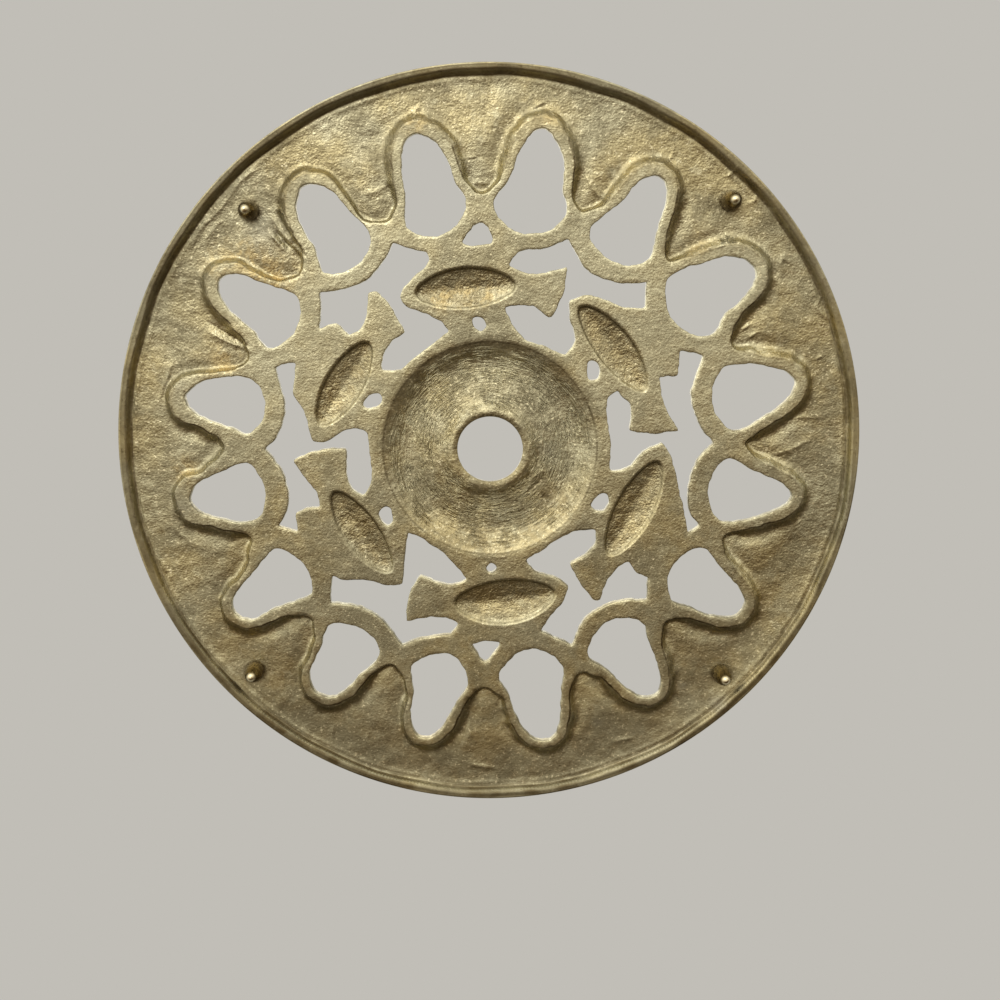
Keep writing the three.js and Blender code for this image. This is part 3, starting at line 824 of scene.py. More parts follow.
    def trough(self, places: Array, radius: Array, edge: Array) -> Array:
        """Depth of the trough: the flange's rise times a smooth step of the distance from its edge.

        The step is narrow at the tongues' ends and wider up their flanks. Past it the floor swells back.

        Args:
            places: Plan points.
            radius: Their distances from the hub's middle.
            edge: Their distances from the flange's edge.

        Returns:
            The depths.
        """
        bearing = np.degrees(np.arctan2(places[:, 1], places[:, 0]))
        width = self.wall_width + (self.flank_width - self.wall_width) * eased((radius - 65.0) / 8.0)
        width *= 1.0 - self.steep_share * self.outlines.first_flank(bearing)
        edge = edge + self.stray(places) * (edge > -1.5)
        swell = 0.35 * eased((edge - width) / 3.0) * eased((84.0 - radius) / 8.0)
        wander = self.rim_wander * self.wander(places, radius)
        cove = self.cove_rise * eased((radius - 85.0) / 8.0) * hump(bearing - 42.0, 20.0)
        wall = eased((edge + 0.12) / width)
        return (self.flange_rise * wall - swell - cove) * self.rim_share(radius + wander)

    def bowl(self, places: Array) -> Array:
        """Share of a fish hollow's depth: a short wall, then two facets down to a valley line.

        Args:
            places: Plan points.

        Returns:
            The shares.
        """
        inside = -self.to_hollow.at(places)
        wall = eased((inside + 0.1) / self.hollow_wall)
        facet = np.clip(inside / 5.2, 0.0, 1.0) ** 0.9
        return 0.4 * wall + 0.6 * facet

    def front(self, places: Array) -> Array:
        """Height of the pot side.

        Args:
            places: Plan points.

        Returns:
            The heights, nowhere over the flange's top.
        """
        radius = np.hypot(*places.T)
        edge = self.to_front_flange.at(places)
        rise = self.flange_front - self.lattice_front
        height = self.lattice_front + rise * eased(edge / self.front_slope)
        inside = np.clip(-self.to_swell.at(places) / 5.0, 0.0, 1.0)
        height += self.swell_rise * np.sqrt(1.0 - (1.0 - inside) ** 2)
        height = np.where(radius < self.hub_reach, self.hub_front(radius), height)
        coarse, medium = self.front_grain
        rough = self.coarse.at(places) * coarse + self.medium.at(places) * medium
        return np.minimum(height + rough * 0.5 - 0.02, self.flange_front)


@dataclass
class Casting:
    """The one-piece cast plate: two face sheets over the plan, joined by walls round every edge."""

    outlines: PlanOutlines
    relief: PlateRelief
    back_spacing: float = 0.78
    front_spacing: float = 1.5
    edge_round: float = 0.28
    ragged: float = 0.08
    eye_radius: float = 8.4
    eye_step: float = 0.45
    sheet_radius: float = 94.45
    sheet_step: float = 0.75
    shoulder_radius: float = 91.8
    shoulder_step: float = 1.1
    lip_round: float = 0.55
    lip_level: float = 5.05
    shoulder_reach: float = 3.2
    shoulder_level: float = 7.8
    shoulder_rise: float = 2.2
    flange_rows: tuple[float, ...] = (-0.3, 0.0, 0.28, 0.56, 0.9, 1.3, 1.75, 2.3)
    hollow_rows: tuple[float, ...] = (0.35, 0.0, -0.4, -0.9, -1.5)
    front_flange_rows: tuple[float, ...] = (0.0, 0.5, 1.0, 1.5)
    swell_rows: tuple[float, ...] = (0.0, -0.4, -1.0)
    hub_back_rings: tuple[float, ...] = (9.4, 10.2, 24.0, 25.0, 26.0, 27.0, 27.8, 28.4)
    hub_front_rings: tuple[float, ...] = (9.4, 12.0, 20.2, 21.8, 25.3, 27.0, 28.6)
    rim_rings: tuple[float, ...] = (90.8, 91.1, 91.4, 91.7, 92.0, 92.3, 92.6, 92.9, 93.2, 93.5, 93.8, 94.1)

    def build(self) -> bpy.types.Object:
        """Builds the plate's mesh.

        Returns:
            The plate.
        """
        eye = self._circle(self.eye_radius, self.eye_step)
        rims = [self._ragged(line) for line in [*self.outlines.openings, eye]]
        outer = self._circle(self.sheet_radius, self.sheet_step)
        shoulder = self._circle(self.shoulder_radius, self.shoulder_step)
        back = self._sheet(rims, outer, self._back_rows(), self.back_spacing)
        front = self._sheet(rims, shoulder, self._front_rows(), self.front_spacing)
        parts = [
            (np.column_stack([back[0], self.relief.back(back[0])]), back[1][:, ::-1]),
            (np.column_stack([front[0], self.relief.front(front[0])]), front[1]),
        ]
        parts += [self._wall(rim) for rim in rims]
        parts.append(self._rim_wall(outer, shoulder))
        LOG.info("plate: back %d, front %d triangles", len(back[1]), len(front[1]))
        return self._object(parts)

    def dress(self, plate: bpy.types.Object, tints: "PlateTints", finish: bpy.types.Material) -> None:
        """Stores what the finish draws by, gives the plate its finish and its body, and hides the imported
        node.

        Args:
            plate: The plate.
            tints: Its tints and measures.
            finish: Its material.
        """
        corners = corners_of(plate)
        for name, values in {**tints.shares(corners), **tints.measures(corners)}.items():
            set_values(plate, name.value, values)
        plate.data.materials.append(finish)
        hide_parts("cast_plate")
        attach(plate, "root")

    def _back_rows(self) -> list[Array]:
        """Rows of points along the creases of the back.

        Returns:
            The rows.
        """
        rows = self._rows(self.outlines.flange_back, self.flange_rows, self.relief.to_flange)
        for line in self.outlines.hollows:
            rows += self._rows(line, self.hollow_rows, self.relief.to_hollow)
        rows += [self._circle(radius, 0.7) for radius in self.hub_back_rings]
        rows += [self._circle(radius, 0.9) for radius in self.rim_rings]
        return rows + [scar.rows() for scar in self.relief.scars]

    def _front_rows(self) -> list[Array]:
        """Rows of points along the creases of the front.

        Returns:
            The rows.
        """
        rows = self._rows(self.outlines.flange_front, self.front_flange_rows, self.relief.to_front_flange)
        for line in self.outlines.swells:
            rows += self._rows(line, self.swell_rows, self.relief.to_swell)
        return rows + [self._circle(radius, 1.2) for radius in self.hub_front_rings]

    def _ragged(self, line: Array) -> Array:
        """The edge of an opening in the sheets: outside its line by the rounding, and a little uneven.

        Args:
            line: The opening's line.

        Returns:
            The edge.
        """
        grain, flipped = self.relief, line[:, ::-1]
        uneven = self.ragged * (grain.medium.at(flipped) + grain.fine.at(flipped))
        uneven = np.clip(uneven, -2.0 * self.ragged, 2.0 * self.ragged) * (np.hypot(*line.T) > 12.0)
        return np.round(resampled(line + side_normals(line) * (self.edge_round + uneven)[:, None], 0.58), 3)

    def _circle(self, radius: float, step: float) -> Array:
        """A circle about the hub with points about a step apart."""
        turn = np.linspace(0.0, 2.0 * np.pi, int(2.0 * np.pi * radius / step), endpoint=False)
        return np.round(radius * np.stack([np.cos(turn), np.sin(turn)], axis=1), 3)

    def _rows(self, line: Array, offsets: Sequence[float], distance: OutlineField) -> list[Array]:
        """Lines beside an outline, where they keep their distance from all of it.

        Args:
            line: The outline.
            offsets: The distances, positive outside it.
            distance: The field of the outline.

        Returns:
            One set of points for each offset.
        """
        sets = []
        for offset in offsets:
            beside = resampled(line + side_normals(line) * offset, 0.55)
            sets.append(beside[np.abs(distance.at(beside) - offset) < 0.06])
        return sets

    def _sheet(
        self, rims: list[Array], outer: Array, rows: list[Array], spacing: float
    ) -> tuple[Array, Array]:
        """Triangles over the plan, between the openings' edges and the outer circle.

        Args:
            rims: Edge lines of the openings.
            outer: The outer circle.
            rows: Extra rows of points along creases.
            spacing: Spacing of the even fill.

        Returns:
            Plan points and triangles.
        """
        borders = [*rims, outer]
        radius = np.hypot(*outer[0])
        opening = self.relief.to_opening
        eye_edge = self.eye_radius + self.edge_round
        keep = []
        for row in rows:
            away = np.hypot(*row.T)
            free = (opening.at(row) > self.edge_round + 0.22) & (away < radius - 0.25)
            free &= away > eye_edge + 0.2
            keep.append(row[free])
        line_points = thinned(np.vstack(keep), 0.33)
        across = np.arange(-radius, radius, spacing)
        down = np.arange(-radius, radius, spacing * 0.866)
        grid_x, grid_y = np.meshgrid(across, down)
        grid_x[1::2] += spacing / 2.0
        fill = np.stack([grid_x.ravel(), grid_y.ravel()], axis=1)
        fill += np.random.default_rng(11).normal(0.0, spacing * 0.06, fill.shape)
        span = np.hypot(*fill.T)
        fill = fill[(span < radius - spacing * 0.5) & (span > eye_edge + spacing * 0.4)]
        fill = fill[opening.at(fill) > self.edge_round + spacing * 0.4]
        fill = fill[distant(fill, line_points, spacing * 0.62)]
        points = np.vstack([*borders, line_points, fill])
        edges, offset = [], 0
        for line in borders:
            number = offset + np.arange(len(line))
            edges.append(np.stack([number, np.roll(number, -1)], axis=1))
            offset += len(line)
        made = delaunay_2d_cdt(points.tolist(), np.vstack(edges).tolist(), [], 0, 1e-6)
        places = np.round([tuple(place) for place in made[0]], 3)
        faces = np.array(made[2], np.int64)
        return places, faces[~self._void(faces, np.vstack(edges[:-1]), len(places))]

    def _void(self, faces: Array, lines: Array, total: int) -> Array:
        """Which triangles lie in an opening: those left of its line, and all that they touch inside it.

        Args:
            faces: Triangles.
            lines: Directed edges of the openings' anticlockwise lines.
            total: Number of points.

        Returns:
            True for the triangles in an opening.
        """
        edges = edges_of(faces)
        owner = np.tile(np.arange(len(faces)), 3)
        code, back = edge_codes(edges, total)
        border, _ = edge_codes(lines, total)
        void = np.zeros(len(faces), bool)
        void[owner[np.isin(code, border)]] = True
        order = np.argsort(code)
        place = np.minimum(np.searchsorted(code[order], back), len(code) - 1)
        shared = (code[order][place] == back) & ~np.isin(code, border) & ~np.isin(back, border)
        here, there = owner[shared], owner[order[place]][shared]
        count = 0
        while void.sum() > count:
            count = void.sum()
            void[there[void[here]]] = True
        return void

    def _wall(self, rim: Array) -> tuple[Array, Array]:
        """The wall of one opening: a rounded profile carried along its edge, from back to front.

        Args:
            rim: The edge line in the sheets, which runs anticlockwise round the opening.

        Returns:
            Corners and triangles.
        """
        inwards = -side_normals(rim)
        low, high = self.relief.back(rim), self.relief.front(rim)
        turn = np.radians([0.0, 45.0, 90.0])
        shares = self.edge_round * np.sin(turn)
        drops = self.edge_round * (1.0 - np.cos(turn))
        reach = np.concatenate([shares, shares[::-1]])
        level = np.concatenate([low[None] + drops[:, None], high[None] - drops[::-1, None]])
        plan = rim[None] + inwards[None] * reach[:, None, None]
        corners, faces = strip(np.concatenate([plan, level[..., None]], axis=2))
        return corners, faces[:, ::-1]

    def _rim_wall(self, outer: Array, inner: Array) -> tuple[Array, Array]:
        """The outside of the rim: a profile in radius and height, turned about the hub.

        Args:
            outer: The back sheet's outer circle.
            inner: The front sheet's outer circle.

        Returns:
            Corners and triangles.
        """
        turn = np.radians([30.0, 60.0, 90.0])
        reach, drop = self.lip_round * np.sin(turn), self.lip_round * np.cos(turn)
        lip = np.stack([self.sheet_radius + reach, self.lip_level - drop], axis=1)
        turn = np.radians([0.0, 18.0, 36.0, 54.0, 72.0])
        reach, level = self.shoulder_reach * np.cos(turn), self.shoulder_rise * np.sin(turn)
        shoulder = np.stack([self.shoulder_radius + reach, self.shoulder_level + level], axis=1)
        start = np.column_stack([outer, self.relief.back(outer)])[None]
        rings = turned(np.vstack([lip, shoulder]), outer / self.sheet_radius, (0.0, 0.0))
        corners, faces = strip(np.concatenate([start, rings]))
        last = len(corners) - len(outer)
        top = np.column_stack([inner, self.relief.front(inner)])
        bridge = zipped(last + np.arange(len(outer)), len(corners) + np.arange(len(inner)))
        return np.vstack([corners, top]), np.vstack([faces, bridge])

    def _object(self, parts: list[tuple[Array, Array]]) -> bpy.types.Object:
        """Joins the parts where they share corners and makes the object.

        Args:
            parts: Corners and triangles of each part.

        Returns:
            The plate.
        """
        offset, corners, faces = 0, [], []
        for places, triangles in parts:
            corners.append(places)
            faces.append(triangles + offset)
            offset += len(places)
        corners, faces = np.vstack(corners), np.vstack(faces)
        _, first, number = np.unique(np.round(corners, 4), axis=0, return_index=True, return_inverse=True)
        return mesh_object("plate", corners[first], number.reshape(-1)[faces])


def thinned(points: Array, least: float) -> Array:
    """One point for each cell of a fine grid, so that rows which cross don't crowd.

    Args:
        points: Plan points.
        least: Cell size.

    Returns:
        The points that stay.
    """
    cell = np.floor(points / least).astype(np.int64)
    _, first = np.unique(cell, axis=0, return_index=True)
    return points[np.sort(first)]


def distant(points: Array, others: Array, least: float) -> Array:
    """Whether each point keeps a least distance from all the others, tile by tile.

    Args:
        points: Plan points.
        others: The points to keep clear of.
        least: The distance.

    Returns:
        True for the points that keep it.
    """
    keep = np.ones(len(points), bool)
    for group in tiles(points):
        here = points[group]
        near = others[((others > here.min(0) - least) & (others < here.max(0) + least)).all(1)]
        if len(near):
            square = ((here[:, None] - near[None]) ** 2).sum(2)
            keep[group] = square.min(1) > least * least
    return keep


def turned(profile: Array, circle: Array, centre: tuple[float, float]) -> Array:
    """Rings of corners: each radius of a profile times a unit circle, at the profile's height.

    Args:
        profile: Radius and height of each ring.
        circle: Points of a unit circle.
        centre: Plan point that the rings turn about.

    Returns:
        The corners, rings first.
    """
    plan = np.array(centre) + profile[:, :1, None] * circle[None]
    level = np.broadcast_to(profile[:, 1:, None], (*plan.shape[:2], 1))
    return np.concatenate([plan, level], axis=2)


def strip(rings: Array) -> tuple[Array, Array]:
    """A closed band through rings of equal point counts, as triangles.

    Args:
        rings: Rings of corners, levels first.

    Returns:
        Corners and triangles.
    """
    levels, count = rings.shape[:2]
    number = np.arange(levels * count).reshape(levels, count)
    a, b = number[:-1], np.roll(number, -1, 1)[:-1]
    c, d = np.roll(number, -1, 1)[1:], number[1:]
    faces = np.concatenate([np.stack([a, b, c], 2).reshape(-1, 3), np.stack([a, c, d], 2).reshape(-1, 3)])
    return rings.reshape(-1, 3), faces


def zipped(lower: Array, upper: Array) -> Array:
    """Triangles between two rings about the same axis whose point counts differ.

    Args:
        lower: Corner numbers of the first ring, evenly round.
        upper: Corner numbers of the second ring, evenly round.

    Returns:
        The triangles.
    """
    low_turn = np.arange(1, len(lower) + 1) / len(lower)
    high_turn = np.arange(1, len(upper) + 1) / len(upper)
    turns = np.concatenate([low_turn, high_turn])
    is_low = np.concatenate([np.ones(len(lower), bool), np.zeros(len(upper), bool)])
    order = np.argsort(turns, kind="stable")
    is_low = is_low[order]
    low_place = np.concatenate([[0], np.cumsum(is_low)[:-1]])
    high_place = np.concatenate([[0], np.cumsum(~is_low)[:-1]])
    a, b = lower[low_place % len(lower)], upper[high_place % len(upper)]
    third = np.where(is_low, lower[(low_place + 1) % len(lower)], upper[(high_place + 1) % len(upper)])
    return np.stack([a, third, b], axis=1)


def mesh_object(name: str, corners: Array, faces: Array) -> bpy.types.Object:
    """A smooth-shaded object from triangles in millimetres.

    Args:
        name: The object's name.
        corners: Corners in millimetres.
        faces: Triangles.

    Returns:
        The object, linked to the scene.
    """
    mesh = bpy.data.meshes.new(name)
    mesh.vertices.add(len(corners))
    mesh.vertices.foreach_set("co", (corners * MM).astype(np.float32).ravel())
    mesh.loops.add(len(faces) * 3)
    mesh.loops.foreach_set("vertex_index", faces.astype(np.int32).ravel())
    mesh.polygons.add(len(faces))
    mesh.polygons.foreach_set("loop_start", np.arange(0, len(faces) * 3, 3, dtype=np.int32))
    mesh.update(calc_edges=True)
    mesh.validate()
    mesh.shade_smooth()
    piece = bpy.data.objects.new(name, mesh)
    bpy.context.scene.collection.objects.link(piece)
    return piece


class NodeBench:
    """A short way to lay out shader nodes in one material."""

    def __init__(self, name: str) -> None:
        """Starts an empty material with a principled shader.

        Args:
            name: The material's name.
        """
        self.material = bpy.data.materials.new(name)
        self.material.use_nodes = True
        self.tree = self.material.node_tree
        self.shader = self.tree.nodes["Principled BSDF"]
        self.output = self.tree.nodes["Material Output"]

    def add(self, kind: str, settings: dict | None = None, **values: object) -> bpy.types.Node:
        """Adds a node, sets its properties, and sets or links its inputs by name.

        Args:
            kind: The node's type.
            settings: Properties of the node.
            **values: Inputs, with spaces written as underscores: a value or a socket.

        Returns:
            The node.
        """
        node = self.tree.nodes.new(kind)
        for key, value in (settings or {}).items():
            setattr(node, key, value)
        for key, value in values.items():
            self.feed(node.inputs[key.replace("_", " ")], value)
        return node

    def feed(self, socket: Socket, value: object) -> None:
        """Links a socket to another, or sets its value.

        Args:
            socket: The input.
            value: A value or a socket.
        """
        if isinstance(value, bpy.types.NodeSocket):
            self.tree.links.new(value, socket)
        else:
            socket.default_value = value

    def math(self, operation: str, first: object, second: object = 0.0) -> Socket:
        """The result of a sum on two values or sockets.

        Args:
            operation: The sum's name.
            first: Its first term.
            second: Its second term.

        Returns:
            The result.
        """
        node = self.add("ShaderNodeMath", {"operation": operation})
        self.feed(node.inputs[0], first)
        self.feed(node.inputs[1], second)
        return node.outputs[0]

    def vector(self, operation: str, *terms: object, **values: object) -> bpy.types.Node:
        """A sum on vectors.

        Args:
            operation: The sum's name.
            *terms: Its terms, sockets or triples.
            **values: Inputs by name.

        Returns:
            The node.
        """
        node = self.add("ShaderNodeVectorMath", {"operation": operation}, **values)
        for socket, term in zip(node.inputs, terms):
            self.feed(socket, term)
        return node

    def product(self, *factors: object) -> Socket:
        """The product of values and sockets."""
        return reduce(lambda first, second: self.math("MULTIPLY", first, second), factors)

    def total(self, *terms: object) -> Socket:
        """The sum of values and sockets."""
        return reduce(lambda first, second: self.math("ADD", first, second), terms)

    def line(self, start: float, value: Socket, slope: float) -> Socket:
        """A straight line: the start plus the slope times the value."""
        return self.total(start, self.product(value, slope))

    def ramp(self, value: Socket, low: float, high: float) -> Socket:
        """A smooth step of a value from 0 at the low mark to 1 at the high one."""
        smooth = {"interpolation_type": "SMOOTHSTEP"}
        return self.add("ShaderNodeMapRange", smooth, Value=value, From_Min=low, From_Max=high).outputs[0]

    def band(self, value: Socket, middle: float, width: float) -> Socket:
        """A soft line: 1 where a value is at its middle, 0 from a width away on."""
        return self.ramp(self.math("ABSOLUTE", self.math("SUBTRACT", value, middle)), width, 0.0)

    def mix(self, share: object, first: object, second: object) -> Socket:
        """Mixes two colours.

        Args:
            share: Share of the second.
            first: A socket or a colour on the screen.
            second: The same.

        Returns:
            The mixed colour.
        """
        node = self.add("ShaderNodeMix", {"data_type": "RGBA"})
        self.feed(node.inputs[0], share)
        self.feed(node.inputs[6], colour(first) if isinstance(first, tuple) else first)
        self.feed(node.inputs[7], colour(second) if isinstance(second, tuple) else second)
        return node.outputs[2]

    def attribute(self, name: Tint | Measure) -> Socket:
        """A value that the mesh carries."""
        return self.add("ShaderNodeAttribute", {"attribute_name": name.value}).outputs["Fac"]

    def spot(self) -> Socket:
        """The place on the piece, in metres."""
        return self.add("ShaderNodeTexCoord").outputs["Object"]

    def place(self, axis: str) -> Socket:
        """One axis of the place on the piece, in metres."""
        return self.add("ShaderNodeSeparateXYZ", Vector=self.spot()).outputs[axis]

    def facing(self, axis: str) -> Socket:
        """One axis of the surface's normal."""
        normal = self.add("ShaderNodeNewGeometry").outputs["Normal"]
        return self.add("ShaderNodeSeparateXYZ", Vector=normal).outputs[axis]

    def flat(self) -> Socket:
        """The place on the piece with its height left out."""
        return self.vector("MULTIPLY", self.spot(), (1.0, 1.0, 0.0)).outputs[0]

    def radius(self) -> Socket:
        """Distance from the hub's axis, in metres."""
        return self.vector("LENGTH", self.flat()).outputs["Value"]

    def noise(self, size: float, detail: float, seed: float, rough: float = 0.55) -> Socket:
        """Fractal noise in object space.

        Args:
            size: Length of its waves in millimetres, about.
            detail: How many finer layers it has.
            seed: Where in the noise it is read.
            rough: How strong the finer layers are.

        Returns:
            The noise, 0.5 on average.
        """
        spot = self.add("ShaderNodeMapping", Vector=self.spot(), Location=(seed, seed * 0.7, seed * 1.3))
        values = {"Scale": 1.0 / (size * MM), "Detail": detail, "Roughness": rough}
        return self.add("ShaderNodeTexNoise", Vector=spot.outputs[0], **values).outputs["Fac"]

    def patches(self, noise: tuple[float, ...], low: float, high: float) -> Socket:
        """Soft patches: a smooth step of a noise, given by its size, detail, seed and roughness."""
        return self.ramp(self.noise(*noise), low, high)


def colour(screen: Triple) -> tuple[float, float, float, float]:
    """A colour in linear light.

    Args:
        screen: Its values on the screen, 0 to 255.

    Returns:
        Red, green, blue and an alpha of 1.
    """
    share = np.array(screen) / 255.0
    linear = np.where(share <= 0.04045, share / 12.92, ((share + 0.055) / 1.055) ** 2.4)
    return (*linear.tolist(), 1.0)


@dataclass
class PlateTints:
    """Where dirt, painted shade, painted light, gilt and ash lie on the plate: along creases, and in listed
    patches.

    Each patch is a bearing, a radius, a size and a strength.
    """

    relief: PlateRelief
    feet: tuple[tuple[float, float], ...]
    floor_gilt: float = 0.2
    floor_grime: float = 0.1
    # painted shade, partly dirt, on the hub dish's wall; a painted shadow round the feet; painted shade on
    # the walls inside the openings
    hub_shade_and_grime: float = 0.12
    foot_shadow: float = 0.7
    opening_wall_shade: float = 0.35
    # painted light on the lattice towards the top of the picture; a pale edge line, partly wear and partly
    # painted highlight
    rubbed_and_lit: float = 0.36
    edge_wear_and_highlight: float = 0.3
    most: float = 0.9
    patches: tuple[tuple[Tint, tuple[tuple[float, ...], ...]], ...] = (
        (Tint.GILT, (
            (219.0, 78.0, 5.0, 0.6), (218.0, 69.5, 6.0, 0.75), (198.5, 71.0, 4.5, 0.6),
            (176.0, 79.0, 3.6, 0.5), (257.5, 82.5, 3.2, 0.5), (214.0, 83.0, 5.0, 0.3),
            (280.0, 83.0, 3.0, 0.35), (315.5, 73.0, 4.0, 0.3), (252.0, 39.6, 3.4, 0.45),
            (261.0, 38.4, 3.4, 0.45), (269.0, 38.4, 3.0, 0.35), (38.0, 25.0, 6.0, 0.22),
            (65.0, 25.5, 6.0, 0.2), (92.0, 25.5, 6.0, 0.2), (118.0, 25.0, 5.0, 0.16),
        )),
        (Tint.ASH, (
            (222.5, 77.0, 4.6, 0.45), (224.5, 81.0, 3.4, 0.5), (169.0, 80.5, 3.2, 0.5),
            (191.0, 80.5, 4.0, 0.4), (48.5, 92.3, 2.2, 0.8), (51.3, 82.4, 1.5, 0.7),
            (68.8, 79.6, 1.2, 0.6), (243.0, 91.2, 3.0, 0.35), (265.0, 91.2, 4.0, 0.35),
            (2.0, 14.8, 2.0, 0.4),
        )),
        (Tint.GRIME_AND_SHADE, (
            (261.0, 37.8, 5.0, 0.25), (209.0, 88.0, 8.0, 0.22), (233.0, 84.0, 11.0, 0.27),
            (252.0, 86.0, 9.0, 0.14), (301.0, 86.0, 9.0, 0.12), (146.0, 40.0, 5.0, 0.2),
            (122.0, 86.0, 12.0, 0.14), (125.0, 85.0, 6.0, 0.16), (113.0, 87.0, 7.0, 0.16),
            (60.0, 86.0, 8.0, 0.12), (312.5, 84.0, 4.0, 0.15), (15.0, 84.0, 4.5, 0.15),
            (357.0, 16.0, 2.0, 0.2), (39.0, 31.5, 2.2, 0.3), (60.0, 15.5, 4.5, 0.22),
            (105.0, 16.0, 4.5, 0.14),
        )),
        # pale patches, partly worn metal; those in the hub's dish are painted light
        (Tint.RUBBED_AND_LIT, (
            (204.0, 41.0, 6.0, 0.2), (205.0, 17.0, 4.5, 0.35), (183.0, 11.5, 2.2, 0.4),
            (283.0, 22.5, 3.5, 0.4), (197.0, 24.3, 5.0, 0.3), (286.0, 26.0, 5.0, 0.25),
            (1.0, 24.0, 5.0, 0.35), (247.0, 25.0, 5.0, 0.2), (180.0, 21.0, 3.0, 0.35),
        )),
    )

    def shares(self, corners: Array) -> dict[Tint, Array]:
        """The share of each tint at each corner.

        Painted shade, partly dirt, lies in a ring on the hub dish's wall and on the walls inside the
        openings, and a painted shadow round the feet; gilt and dirt lie on the hollows' floors; the proud
        lattice is painted paler towards the top of the picture, where the light comes from; and a pale line,
        partly worn metal and partly painted highlight, runs along the openings' edges.

        Args:
            corners: The plate's corners.

        Returns:
            The shares by tint.
        """
        plan = corners[:, :2]
        edge, radius = self.relief.to_flange.at(plan), np.hypot(*plan.T)
        inside, opening = -self.relief.to_hollow.at(plan), self.relief.to_opening.at(plan)
        # painted shade, partly dirt, in a ring on the hub dish's wall
        grime_and_shade = hump(radius - 26.0, 1.5) * self.hub_shade_and_grime
        for foot in self.feet:
            away = np.hypot(*(plan - foot).T)
            # painted shadow round the base of each foot
            grime_and_shade += hump(away - 2.3, 0.8) * self.foot_shadow
        floor = eased((inside - 0.8) / 1.2)
        shares = {tint: np.zeros(len(plan)) for tint in Tint}
        # the walls inside the openings get painted shade
        shares[Tint.GRIME_AND_SHADE] = grime_and_shade + floor * self.floor_grime + (opening < 0.02) * self.opening_wall_shade
        shares[Tint.GILT] = floor * self.floor_gilt
        lattice = eased(-edge / 0.5) * eased((radius - 29.0) / 1.0) * (inside < 0.0)
        aside = 0.3 + 0.7 * eased(np.abs(plan[:, 0]) / 32.0)
        # painted light: the proud lattice paler towards the top of the picture, where the light comes from,
        # and less near the middle
        shares[Tint.RUBBED_AND_LIT] = lattice * eased((15.0 - plan[:, 1]) / 35.0) * aside * self.rubbed_and_lit
        # a pale line along the openings' edges: partly worn metal, partly painted highlight
        shares[Tint.RUBBED_AND_LIT] += hump(opening - 0.3, 0.4) * self.edge_wear_and_highlight
        for tint, patches in self.patches:
            for patch in patches:
                shares[tint] = shares[tint] + Stain(*patch).at(plan)
        return {tint: np.clip(values, 0.0, self.most) for tint, values in shares.items()}

    def measures(self, corners: Array) -> dict[Measure, Array]:
        """The distances at each corner that the finish draws its lines by, in millimetres.

        Args:
            corners: The plate's corners.

        Returns:
            The distances by name.
        """
        plan = corners[:, :2]
        relief, radius = self.relief, np.hypot(*plan.T)
        return {
            Measure.EDGE: relief.to_flange.at(plan) + relief.stray(plan),
            Measure.DENT: -relief.to_hollow.at(plan),
            Measure.RIM: radius + relief.rim_wander * relief.wander(plan, radius),
        }


